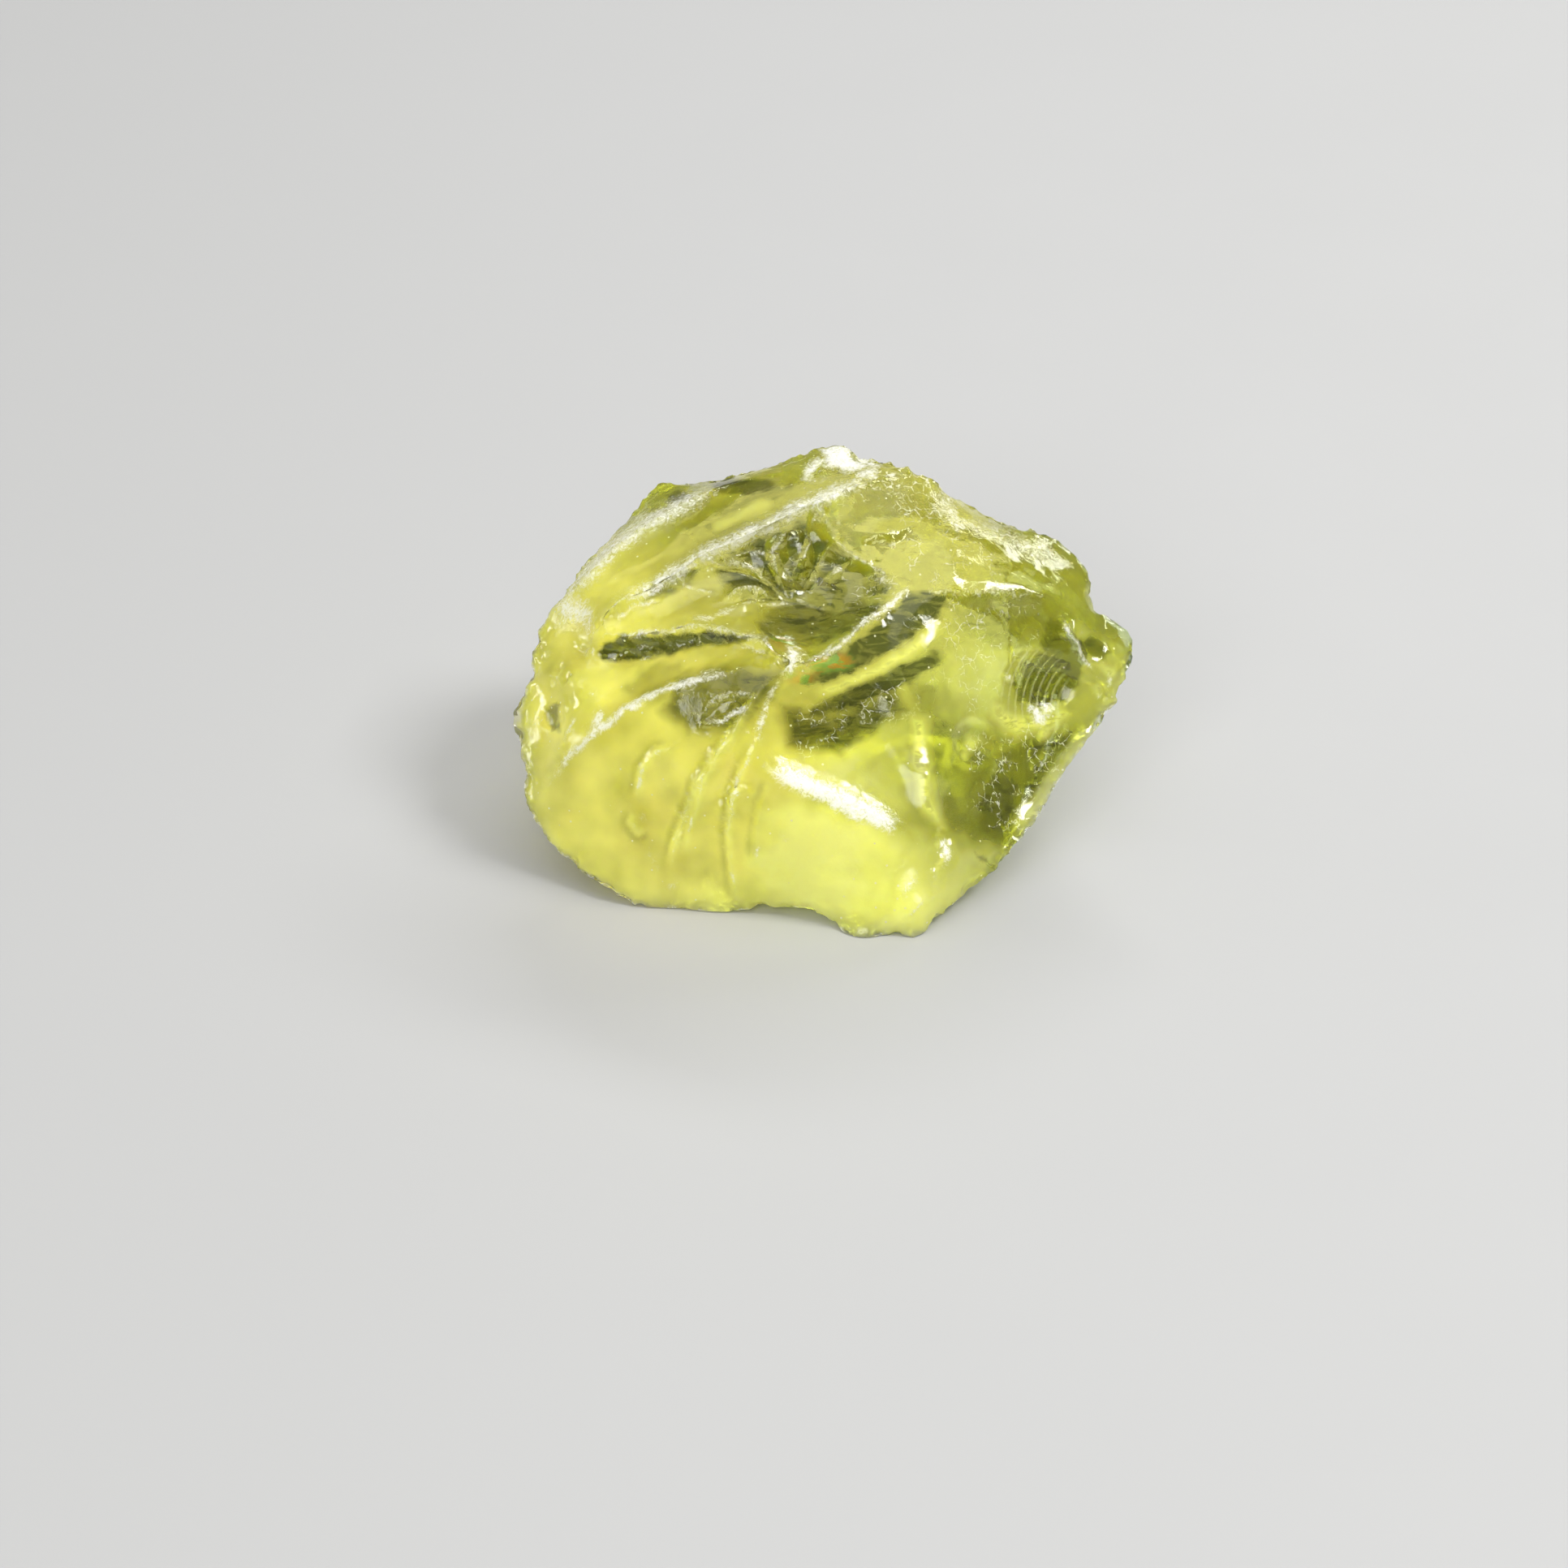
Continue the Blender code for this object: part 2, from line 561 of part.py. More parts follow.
def lift_steps(skin):
    """Raises the low steps, most at their middle, above the faces that they cross."""
    curves = [
        (height, np.array([p[:2] for p in curve_through([(a, u, 0.0) for a, u in items], STEP_SAMPLE)]))
        for height, items in FRONT_STEPS.values()
    ]
    for v in skin.mesh.verts:
        if not any(e[skin.kind] == STEP for e in v.link_edges):
            continue
        place = np.array(as_seen(*v.co)[:2])
        height, curve = min(curves, key=lambda c: np.hypot(*(c[1] - place).T).min())
        along = np.hypot(*(curve - place).T).argmin() / (len(curve) - 1)
        v.co = pushed(v.co, height * math.sin(math.pi * along))


def roughen(skin):
    """Adds the slow waves of a natural break."""
    for v in skin.mesh.verts:
        v.co += noise.noise_vector(v.co / WAVE_LENGTH) * WAVE_HEIGHT


def flatten_underside(skin):
    """Cuts the stone level at the ground and closes the cut, so that it stands flat."""
    mesh = skin.mesh
    everything = mesh.verts[:] + mesh.edges[:] + mesh.faces[:]
    bmesh.ops.bisect_plane(
        mesh, geom=everything, dist=1e-4, plane_co=(0, 0, 0), plane_no=(0, 0, 1), clear_inner=True
    )
    rim = [e for e in mesh.edges if e.is_boundary]
    bmesh.ops.holes_fill(mesh, edges=rim, sides=0)
    bmesh.ops.remove_doubles(mesh, verts=mesh.verts[:], dist=SHORTEST_EDGE)
    bmesh.ops.dissolve_degenerate(mesh, edges=mesh.edges[:], dist=SHORTEST_EDGE)
    bmesh.ops.triangulate(mesh, faces=[f for f in mesh.faces if len(f.verts) > 3])
    bmesh.ops.recalc_face_normals(mesh, faces=mesh.faces[:])


def centred(skin):
    """Puts the middle of the stone's outer box over the origin and turns it into metres."""
    points = np.array([v.co for v in skin.mesh.verts])
    middle = (points.min(0) + points.max(0)) / 2
    skin.mesh.transform(
        Matrix.Scale(MM, 4) @ Matrix.Translation((-middle[0], -middle[1], -points[:, 2].min()))
    )


def quartz_material():
    """Clear yellow-green quartz."""
    material = bpy.data.materials.new("prasiolite")
    material.use_nodes = True
    shader = material.node_tree.nodes["Principled BSDF"]
    shader.inputs["Base Color"].default_value = (0.72, 0.74, 0.12, 1.0)
    shader.inputs["Roughness"].default_value = 0.08
    shader.inputs["Metallic"].default_value = 0.0
    shader.inputs["Transmission Weight"].default_value = 1.0
    shader.inputs["IOR"].default_value = 1.544
    return material


def prasiolite():
    """The stone as one object."""
    noise.seed_set(NOISE_SEED)
    skin = laid_out_skin()
    even_out(skin)
    swell(skin)
    lift_steps(skin)
    roughen(skin)
    flatten_underside(skin)
    centred(skin)
    mesh = bpy.data.meshes.new(NODE_NAME)
    skin.mesh.to_mesh(mesh)
    skin.mesh.free()
    mesh.shade_smooth()
    mesh.set_sharp_from_angle(angle=RIDGE_ANGLE)
    mesh.materials.append(quartz_material())
    stone = bpy.data.objects.new(NODE_NAME, mesh)
    bpy.context.scene.collection.objects.link(stone)
    return stone


def clear_scene():
    for obj in list(bpy.data.objects):
        bpy.data.objects.remove(obj)


clear_scene()
prasiolite()
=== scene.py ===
"""The looks of a rough lump of prasiolite, a clear yellow-green quartz, on a pale studio floor.

The solid stone comes from the frame. Here its surface is divided finely and gets what a break in
quartz has: ripples, hackles, blades, chipped and frosted rims, pits and scratches. Places on the
front are millimetres across and up, as an eye sees them that looks down on the stone.
"""

import math

import bmesh
import bpy
import numpy as np
from bpy.props import FloatProperty, FloatVectorProperty, IntProperty, PointerProperty
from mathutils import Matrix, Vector, kdtree, noise


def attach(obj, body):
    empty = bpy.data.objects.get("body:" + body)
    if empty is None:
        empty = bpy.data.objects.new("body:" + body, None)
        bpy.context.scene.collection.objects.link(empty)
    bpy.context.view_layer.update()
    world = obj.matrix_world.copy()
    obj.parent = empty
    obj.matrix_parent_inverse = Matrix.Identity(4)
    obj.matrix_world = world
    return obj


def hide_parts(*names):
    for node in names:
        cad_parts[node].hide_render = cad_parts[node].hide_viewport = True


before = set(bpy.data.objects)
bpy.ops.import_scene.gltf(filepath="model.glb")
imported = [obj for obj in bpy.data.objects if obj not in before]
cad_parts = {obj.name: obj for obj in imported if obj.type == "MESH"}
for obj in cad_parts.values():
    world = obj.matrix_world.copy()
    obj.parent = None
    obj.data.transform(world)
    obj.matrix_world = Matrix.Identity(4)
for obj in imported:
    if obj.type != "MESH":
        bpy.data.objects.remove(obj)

bl_info = {
    "name": "Raw prasiolite",
    "version": (1, 0, 0),
    "blender": (4, 5, 0),
    "location": "3D View > Sidebar > Prasiolite",
    "description": "A rough lump of clear yellow-green quartz on a pale studio floor",
    "category": "Add Mesh",
}

NODE = "raw_prasiolite"
MM = 0.001

# How the front is looked at, in millimetres. The eye looks at a point CENTRE_HEIGHT above
# EYE_AXIS_FOOT, and the camera is aimed a little beside it, at AIM.
LOOK_DOWN = math.radians(32.0)
EYE_DISTANCE = 322.0
CENTRE_HEIGHT = 11.25
EYE_AXIS_FOOT = np.array((-0.02, -1.27, 0.0))
AIM = (-2.94, -6.96)
LENS = 100.0
SENSOR = 36.0

TO_EYE = Vector((0.0, -math.cos(LOOK_DOWN), math.sin(LOOK_DOWN)))

STONE_MIDDLE = Vector((0.0, 0.0, 0.012))
LIGHT_DISTANCE = 0.9

NOISE_SEED = 7
WELD = 1e-6
RIM_SHARPER_THAN = math.radians(30.0)
CREASE_SHARPER_THAN = math.radians(20.0)
SHADED_SHARP = math.radians(50.0)

# In millimetres: what counts as the underside, the spacing of points along the rims, the reach of
# the finer mesh beside its lines, and how near to a rounded ridge an edge belongs to it
UNDERSIDE = 0.02
RIM_SPACING = 0.25
FINE_BAND = 0.3
RIDGE_REACH = 0.5

# The ridges of the front that are frosted or worn: points across and up
LONG_RIDGE = [
    (-16.9, 4.4), (-15.4, 6.4), (-13.6, 7.1), (-11.0, 8.6), (-8.9, 10.0), (-6.4, 11.1), (-4.3, 12.1),
    (-2.4, 13.2), (-0.3, 14.2), (1.8, 15.1), (3.8, 15.7), (6.6, 16.2),
]
LEDGE_RIM = [
    (-16.9, 4.4), (-15.2, 3.9), (-13.0, 4.1), (-10.1, 4.6), (-7.9, 4.5), (-5.7, 3.9), (-4.7, 3.7),
    (-3.8, 2.8), (-2.6, 1.8),
]
V_RIM = [
    (-2.6, 1.8), (-1.5, 2.0), (-0.1, 2.5), (1.7, 4.0), (3.4, 5.3), (5.0, 6.5), (6.1, 7.5), (7.0, 9.0),
]
LOBE_EDGE = [(-0.3, 14.2), (0.1, 12.6), (0.8, 11.0), (2.3, 9.9), (4.3, 8.8), (6.1, 7.5)]
UPPER_FOLD = [
    (-20.8, 5.1), (-18.6, 7.4), (-15.5, 10.6), (-13.3, 12.2), (-10.8, 13.5), (-8.3, 14.7),
    (-6.1, 15.4),
]
BEND_FOLD = [
    (-21.4, -8.2), (-20.3, -6.9), (-19.0, -5.2), (-17.3, -3.5), (-15.3, -1.9), (-13.3, -0.7),
    (-11.3, 0.2), (-9.2, 0.8), (-6.7, 1.4), (-4.6, 1.7),
]
SPINE = [
    (-4.7, -4.6), (-3.9, -5.7), (-2.1, -6.7), (0.0, -7.6), (2.3, -8.6), (4.6, -9.7), (6.8, -10.6),
]
SPINE_TOP = [(-2.9, 1.2), (-3.8, 0.2), (-4.5, -1.6), (-4.8, -3.2), (-4.7, -4.6)]
LEAF_TOP = [(-9.2, -2.6), (-8.7, -1.3), (-7.5, -0.5), (-6.0, -0.2), (-4.8, -0.5)]
LEAF_FOOT = [(-9.2, -2.6), (-7.8, -2.4), (-6.4, -1.7), (-5.2, -0.8)]
HOLLOW_SCAR = [(-10.4, 5.2), (-8.8, 5.2), (-7.2, 5.8), (-6.0, 6.4)]
SHOULDER_FOLD = [
    (6.6, 15.6), (8.8, 14.2), (9.7, 12.1), (11.0, 12.3), (12.3, 12.0), (13.8, 11.4), (15.4, 11.1),
    (16.8, 11.4),
]
TIP_LINE = [(17.3, 6.0), (18.2, 4.3), (19.1, 2.6), (20.1, 1.1)]
SCOOP_EDGE = [
    (6.1, 7.5), (7.2, 4.8), (8.0, 2.2), (7.9, -0.3), (7.5, -2.8), (7.5, -5.3), (7.9, -8.2),
    (7.8, -11.0),
]
SCOOP_BROW = [(6.1, 7.5), (7.8, 7.4), (9.8, 7.2), (12.8, 7.4), (15.6, 7.1), (17.3, 6.0)]
ROUNDED_RIDGES = (BEND_FOLD, SPINE, SPINE_TOP, UPPER_FOLD, SCOOP_EDGE, SCOOP_BROW)

# How far the ridges are worn away: (ridges, half width, rounds)
WORN = (
    ((SCOOP_EDGE[:5],), 3.4, 260),
    ((SCOOP_BROW,), 1.0, 15),
    ((SPINE, SPINE_TOP), 0.8, 6),
)

# How frosted the ridges are, with painted highlights on the spine and folds: (line, half width,
# strength)
FROSTED_AND_HIGHLIT_LINES = (
    (LONG_RIDGE, 1.3, 0.8), (LEDGE_RIM, 0.6, 0.65), (V_RIM, 0.5, 0.8), (LOBE_EDGE, 0.4, 0.45),
    (UPPER_FOLD, 1.5, 0.75), (BEND_FOLD, 0.65, 0.85), (SPINE, 1.5, 1.1), (SPINE_TOP, 0.4, 0.7),
    (SHOULDER_FOLD, 1.2, 0.5), (SCOOP_BROW, 0.6, 0.5), (TIP_LINE, 0.35, 0.8), (LEAF_TOP, 0.3, 0.7),
    (LEAF_FOOT, 0.4, 0.9), (HOLLOW_SCAR, 0.5, 0.6),
)
# Crushed and scratched spots, some of them painted highlights: (across, up, radius, strength)
FROSTED_AND_HIGHLIT_SPOTS = (
    (-2.6, 1.9, 1.3, 0.9), (5.6, 14.6, 3.4, 0.4), (9.0, 13.2, 2.4, 0.4), (1.0, 17.2, 2.6, 1.3),
    (-1.0, 16.6, 1.8, 0.9), (3.2, 17.0, 1.6, 0.8), (-18.5, 6.0, 2.8, 0.8), (-20.8, -3.0, 1.8, 0.3),
    (8.8, -11.8, 1.8, 0.5), (-13.9, -9.2, 1.0, 0.45), (-17.0, -3.0, 1.6, 0.8),
    (6.4, -14.5, 1.2, 0.4), (16.0, 10.4, 2.0, 0.35), (-11.2, -14.4, 1.0, 0.45),
    (-3.0, -10.6, 0.8, 0.4), (-12.8, -12.9, 0.8, 0.35), (8.6, -11.3, 1.2, 0.9),
    (8.9, -12.6, 1.3, 0.9), (6.4, -14.5, 0.7, 0.7), (20.9, 1.5, 0.8, 0.6), (20.1, -0.1, 0.8, 0.6),
    (15.7, -1.8, 1.3, 0.95), (13.5, 1.3, 0.8, 0.6), (11.0, -3.5, 0.7, 0.5),
)

# Steps across the main face: (height, width of the steep side, width of the slow side, points)
HACKLES = [
    (0.34, 0.22, 1.6, [
        (-3.4, 1.2), (-4.8, 0.0), (-6.5, -2.8), (-8.0, -5.1), (-9.3, -6.8), (-9.9, -8.6),
        (-10.7, -10.5), (-11.3, -12.7), (-11.3, -14.4),
    ]),
    (0.26, 0.22, 1.2, [
        (-5.6, -1.2), (-7.2, -3.6), (-8.7, -5.9), (-9.3, -8.2), (-10.0, -10.4), (-10.4, -12.6),
    ]),
    (0.30, 0.25, 1.5, [
        (-4.9, -3.7), (-5.9, -5.7), (-6.8, -8.2), (-7.0, -10.3), (-6.8, -13.0), (-6.4, -16.1),
    ]),
    (0.16, 0.2, 1.0, [(-3.8, -6.4), (-4.6, -8.4), (-5.0, -11.0), (-4.9, -13.4)]),
    (0.15, 0.25, 1.0, [(-11.3, -4.2), (-12.4, -4.6), (-13.5, -6.0), (-13.8, -8.2)]),
    (0.08, 0.2, 0.7, [(-14.0, -9.0), (-14.3, -9.8), (-13.7, -10.6), (-13.1, -10.2)]),
]

# Ripples of a shell-like break: (start of the break in the frame, way the face looks, length of a
# ripple, its height, how far they reach)
RIPPLES = [
    ((-4.0, -9.5, 17.5), (-0.4, -0.8, 0.5), 2.3, 0.05, 14.0),
    ((12.0, -8.0, 19.5), (0.4, -0.8, 0.3), 1.9, 0.07, 13.0),
    ((2.0, -11.0, 17.0), (0.2, -0.9, 0.4), 2.6, 0.05, 9.0),
    ((-14.0, 6.0, 20.0), (-0.5, 0.1, 0.8), 2.0, 0.05, 9.0),
    ((-8.0, 16.0, 15.0), (-0.5, 0.8, -0.2), 2.4, 0.12, 18.0),
    ((3.0, 17.0, 21.0), (0.2, 1.0, 0.0), 3.0, 0.12, 16.0),
    ((12.0, 14.0, 9.0), (0.6, 0.7, -0.3), 2.2, 0.10, 15.0),
    ((18.0, 2.0, 10.0), (0.7, 0.2, -0.6), 2.4, 0.12, 16.0),
    ((-18.0, 2.0, 10.0), (-0.8, 0.2, -0.5), 2.3, 0.10, 15.0),
    ((0.0, 12.0, 4.0), (0.0, 0.6, -0.8), 2.6, 0.10, 12.0),
]

# The deep hollow, and the blades that fan out in it
HOLLOW = [
    (-16.2, 4.6), (-15.0, 6.2), (-13.6, 6.9), (-11.0, 8.3), (-8.9, 9.7), (-6.4, 10.8), (-4.3, 11.8),
    (-2.4, 12.9), (-0.6, 13.7), (-0.2, 12.5), (0.5, 10.8), (2.2, 9.5), (4.1, 8.4), (5.7, 7.5),
    (4.8, 6.7), (3.2, 5.6), (1.5, 4.3), (-0.2, 2.9), (-2.4, 2.1), (-3.7, 3.2), (-4.7, 4.0),
    (-5.7, 4.2), (-7.9, 4.8), (-10.1, 4.9), (-13.0, 4.4), (-15.2, 4.2),
]
BLADE_ROOT = (-2.4, 6.4)
# Rows of blades: (count all round; distances from the root where they start, are full, fall off
# and end; height; seed)
BLADE_ROWS = [
    (12, 0.3, 3.0, 5.6, 7.4, 0.95, 2.0),
    (23, 5.0, 6.5, 8.0, 10.0, 0.15, 6.0),
]

# Painted dark reflections: patches where the colour is darkened, as the stone mirrors its dark side
# there: how dark, how soft its edge is, then points across and up around it
PAINTED_DARK_REFLECTIONS = [
    (0.75, 0.8, [
        (-6.9, 10.2), (-4.4, 11.4), (-1.8, 12.6), (0.0, 11.1), (2.0, 9.7), (3.6, 9.0), (5.1, 7.8),
        (4.2, 6.0), (2.1, 4.5), (-0.3, 3.3), (-4.5, 3.6), (-4.8, 5.1), (-3.3, 6.3), (-6.9, 6.9),
        (-8.1, 8.8),
    ]),
    (0.8, 0.5, [(-12.6, 8.0), (-10.4, 9.0), (-9.2, 9.0), (-9.6, 7.9), (-11.6, 7.0), (-13.4, 6.6)]),
    (0.9, 0.5, [(-5.1, 5.0), (-2.4, 5.6), (2.6, 5.4), (1.4, 4.2), (-1.2, 3.9), (-4.6, 4.3)]),
    (1.0, 0.4, [
        (-16.8, 2.9), (-15.3, 3.9), (-12.9, 4.0), (-9.9, 4.3), (-6.6, 4.2), (-4.8, 3.9), (-6.6, 3.5),
        (-9.9, 2.9), (-12.9, 2.2), (-15.3, 2.0), (-16.5, 2.2),
    ]),
    (1.0, 0.5, [
        (-0.3, 1.8), (2.7, 3.9), (5.2, 6.1), (6.3, 7.3), (9.0, 7.2), (9.2, 6.2), (7.2, 4.5),
        (5.0, 3.0), (2.1, 1.2), (-0.9, 0.3), (-1.8, 0.8),
    ]),
    (1.0, 0.6, [
        (8.1, 3.0), (9.0, 2.3), (6.3, 0.6), (2.7, -1.2), (-0.3, -2.1), (-1.8, -1.8), (1.5, 0.0),
        (4.5, 1.5),
    ]),
    (0.95, 1.6, [(-3.3, -1.2), (0.6, -2.0), (4.8, 0.0), (6.0, -1.5), (1.2, -4.8), (-2.7, -4.2)]),
    (0.35, 0.4, [
        (8.6, 7.1), (12.8, 7.2), (15.6, 6.9), (17.2, 5.8), (16.4, 3.6), (13.0, 2.9), (10.8, 3.9),
    ]),
    (0.75, 0.5, [(16.4, 5.5), (18.0, 4.6), (19.6, 2.9), (19.0, 1.2), (17.0, 2.4), (15.9, 3.4)]),
    (0.35, 2.0, [
        (7.9, -2.4), (10.5, -1.8), (12.6, -4.5), (16.2, -3.3), (18.9, -2.8), (18.2, -4.8),
        (16.5, -7.5), (15.0, -9.6), (13.5, -11.2), (11.1, -11.1), (9.0, -9.9), (8.2, -7.2),
    ]),
    (0.7, 1.4, [
        (13.2, -4.5), (16.5, -3.1), (18.6, -3.0), (16.5, -7.2), (13.5, -11.0), (11.4, -10.5),
        (11.1, -8.1),
    ]),
    (0.8, 0.8, [
        (13.7, 0.6), (14.6, 2.1), (16.4, 2.9), (18.6, 2.8), (19.2, 1.2), (18.0, -0.5), (15.9, -1.3),
        (14.2, -0.7),
    ]),
    (0.8, 0.7, [(18.4, 3.7), (19.8, 4.3), (21.2, 3.0), (20.7, 2.3), (19.2, 2.6)]),
    (0.9, 1.6, [
        (-11.1, 1.0), (-6.9, 2.0), (-3.3, 1.2), (-3.9, -0.6), (-6.6, -3.3), (-9.9, -3.3),
        (-12.0, -1.5),
    ]),
    (0.45, 0.8, [(-15.0, 0.0), (-12.9, 1.8), (-10.5, 2.1), (-9.9, -0.6), (-12.9, -1.2)]),
    (0.9, 0.5, [(-8.7, 15.6), (-5.1, 15.7), (-3.3, 15.0), (-5.1, 14.3), (-8.1, 14.7)]),
    (0.5, 0.3, [(-8.6, 11.6), (-5.2, 13.6), (-2.2, 14.9), (-2.4, 15.3), (-5.6, 14.2), (-8.8, 12.2)]),
    (0.7, 0.3, [(-11.8, 14.3), (-10.8, 14.7), (-9.6, 14.3), (-10.2, 13.8), (-11.4, 13.7)]),
    (0.8, 0.4, [(-20.6, -1.3), (-19.6, -1.2), (-19.6, -3.0), (-20.2, -3.2)]),
    (0.7, 0.4, [(11.2, -12.0), (12.2, -12.4), (12.6, -12.9), (11.5, -12.5)]),
]

# Bright lime patches, where the light gathers: how bright, how soft its edge is, then points across
# and up around it
LIME_PATCHES = [
    (0.4, 2.4, [
        (9.0, 3.0), (13.2, 3.6), (17.1, 4.8), (21.9, 3.6), (22.8, 1.2), (19.5, -3.0), (14.7, -2.4),
        (11.1, -3.0), (8.7, -1.2),
    ]),
    (0.85, 1.5, [
        (12.2, -0.3), (13.4, -1.3), (15.8, -1.7), (17.6, -1.0), (18.6, -1.6), (17.0, -3.0),
        (14.2, -3.5), (12.2, -2.2),
    ]),
    (0.85, 1.3, [
        (6.4, -1.8), (7.6, -2.0), (7.8, -5.0), (8.3, -8.0), (8.9, -10.2), (7.3, -9.0), (6.4, -5.6),
    ]),
    (0.6, 2.4, [
        (6.9, -10.5), (11.1, -11.4), (13.2, -12.0), (10.5, -15.0), (6.9, -17.7), (3.9, -17.4),
        (4.8, -13.8),
    ]),
    (0.65, 2.4, [
        (-5.1, -8.4), (2.1, -9.0), (6.9, -11.4), (4.5, -16.8), (-3.3, -15.6), (-5.4, -12.6),
    ]),
    (0.45, 2.4, [(-1.8, -5.7), (2.7, -1.8), (6.3, 0.0), (6.6, -3.0), (6.3, -9.0), (1.5, -7.2)]),
]
# Bright lines: (how bright, half width, points across and up)
LIME_LINES = [
    (0.8, 0.9, [(23.0, 3.0), (22.8, 1.2), (21.3, -1.2), (18.9, -4.8), (16.5, -8.1), (13.8, -11.4)]),
    (0.8, 0.4, [(-1.2, -0.3), (1.2, 0.3), (3.6, 1.3), (5.7, 2.6), (7.6, 4.0), (8.9, 5.2)]),
    (0.6, 0.4, [(-8.6, 11.8), (-6.2, 12.9), (-3.8, 14.1)]),
]
# Bright spots: (across, up, radius)
LIME_SPOTS = [
    (11.0, -3.9, 0.9), (13.2, -1.6, 1.0), (16.2, -2.6, 0.9), (13.2, 0.9, 0.7), (20.9, 1.5, 0.9),
    (20.1, -0.1, 0.9), (8.6, -11.3, 0.7), (8.9, -12.6, 1.0), (6.4, -14.5, 0.7),
]

# Where the surface is crackled with small crescents: points across and up around each
CRACKLED = [
    [
        (0.9, 15.6), (3.6, 16.6), (7.2, 16.4), (9.6, 14.4), (9.0, 12.0), (6.3, 12.4), (3.0, 12.0),
        (0.6, 13.0),
    ],
    [
        (-2.4, -1.5), (1.2, -0.8), (5.7, 1.0), (8.1, 1.2), (7.2, -1.4), (3.0, -3.2), (-1.2, -5.2),
        (-3.0, -3.6),
    ],
    [(10.4, -3.2), (16.0, -2.4), (18.9, -2.8), (16.5, -7.5), (13.5, -10.6), (11.4, -9.2)],
    [(8.6, 6.8), (13.0, 7.0), (16.4, 5.8), (14.4, 2.6), (12.6, -0.6), (10.0, -1.6), (8.8, 2.0)],
    [(5.6, 12.6), (6.0, 8.4), (9.6, 7.6), (12.8, 7.8), (12.2, 10.2), (9.6, 12.2)],
    [(2.0, 10.0), (5.4, 8.2), (5.6, 6.2), (3.6, 4.8), (1.8, 6.0), (2.4, 8.0)],
]

# Fine lines that curve round a point, on the round window at the right. Distances up to RINGS_REACH
# can be stored, and a sine of LINE_TURN radians per millimetre draws the lines.
LINES_CENTRE = (20.4, -1.2)
RINGS_REACH = 60.0
LINE_TURN = 12.0
LINED = [(13.3, 1.8), (14.6, 3.0), (17.2, 2.8), (17.9, 0.8), (17.0, -1.6), (14.2, -2.0), (13.1, -0.4)]

# Shallow bowls in the front: (across, up, radius, depth)
BOWLS = [
    (16.4, 0.8, 2.4, 0.30), (11.0, -3.6, 1.7, 0.22), (19.8, 3.2, 1.2, 0.15), (14.6, -6.8, 2.6, 0.20),
    (-20.1, -2.2, 1.0, 0.15), (8.8, -12.4, 1.2, 0.15),
]

# Spots where a crack inside splits the light into colours, and the colours
FIRE = [(-3.3, 3.3), (-0.2, 1.9), (1.0, 2.1), (-1.9, 0.9)]
ORANGE_GLINT = (0.95, 0.30, 0.03, 1.0)
GREEN_GLINT = (0.25, 0.75, 0.25, 1.0)

# The studio's soft boxes: (name, azimuth, elevation, width, height, radiance)
SOFT_BOXES = (
    ("back", 24.0, 34.0, 0.88, 0.11, 11.0),
    ("top", 180.0, 86.0, 1.00, 1.00, 1.1),
    ("right", 100.0, 50.0, 0.28, 0.28, 20.0),
    ("left_strip", -88.0, 8.0, 0.92, 0.06, 9.0),
    ("front", -165.0, 35.0, 0.60, 0.40, 5.0),
)
FLOOR_DROP = 0.0001


def seen(points):
    """Across, up and out of points of the frame, as the eye sees them. All are in millimetres."""
    x, y, z = (points - EYE_AXIS_FOOT).T
    height = z - CENTRE_HEIGHT
    out = height * math.sin(LOOK_DOWN) - y * math.cos(LOOK_DOWN)
    up = y * math.sin(LOOK_DOWN) + height * math.cos(LOOK_DOWN)
    nearness = 1 - out / EYE_DISTANCE
    return np.stack((x / nearness, up / nearness, out), axis=1)


def in_frame(across, up, out):
    """The point of the frame that the eye sees there, in millimetres."""
    nearness = 1 - out / EYE_DISTANCE
    across, up = across * nearness, up * nearness
    point = np.array((
        across,
        up * math.sin(LOOK_DOWN) - out * math.cos(LOOK_DOWN),
        up * math.cos(LOOK_DOWN) + out * math.sin(LOOK_DOWN) + CENTRE_HEIGHT,
    ))
    return point + EYE_AXIS_FOOT


def ramp(values, low, high):
    """0 below low, 1 above high and a smooth rise between them. Turned round if low is the higher."""
    share = np.clip((values - low) / (high - low), 0.0, 1.0)
    return share * share * (3 - 2 * share)


def waves(points, length, seed=0.0):
    """Smooth noise between about -1 and 1 at each point."""
    return np.array([noise.noise(Vector(p / length) + Vector((seed, 0, 0))) for p in points])


def wobble(points, length, seed):
    """A flat shift of each point that changes smoothly from place to place."""
    return np.stack([waves(points, length, seed + k) for k in (0.0, 1.0)], axis=1)


def scallops(points, size):
    """1 at the bottom of bowls about size wide that lie side by side, 0 at their edges."""
    nearest = np.array([noise.voronoi(Vector(p / size))[0][0] for p in points])
    return np.clip(1 - (nearest / 0.62) ** 2, 0.0, 1.0)


def line_field(flat, line):
    """Of each flat point, its distance to the line, the side it is on and the share along it."""
    corners = np.array(line, float)
    start, span = corners[:-1], np.diff(corners, axis=0)
    lengths = np.hypot(*span.T)
    travelled = np.concatenate(([0.0], np.cumsum(lengths)))
    best = np.full(len(flat), np.inf)
    side = np.zeros(len(flat))
    along = np.zeros(len(flat))
    for i in range(len(span)):
        away = flat - start[i]
        t = np.clip(away @ span[i] / lengths[i] ** 2, 0.0, 1.0)
        off = away - t[:, None] * span[i]
        gap = np.hypot(*off.T)
        closer = gap < best
        best[closer] = gap[closer]
        turn = span[i][0] * away[:, 1] - span[i][1] * away[:, 0]
        side[closer] = np.sign(turn[closer])
        along[closer] = (travelled[i] + t[closer] * lengths[i]) / travelled[-1]
    return best, side, along


def whole_but_for_ends(along, share):
    """1 along a line, falling to 0 over a share of it at both ends."""
    return ramp(along, 0.0, share) * ramp(along, 1.0, 1 - share)


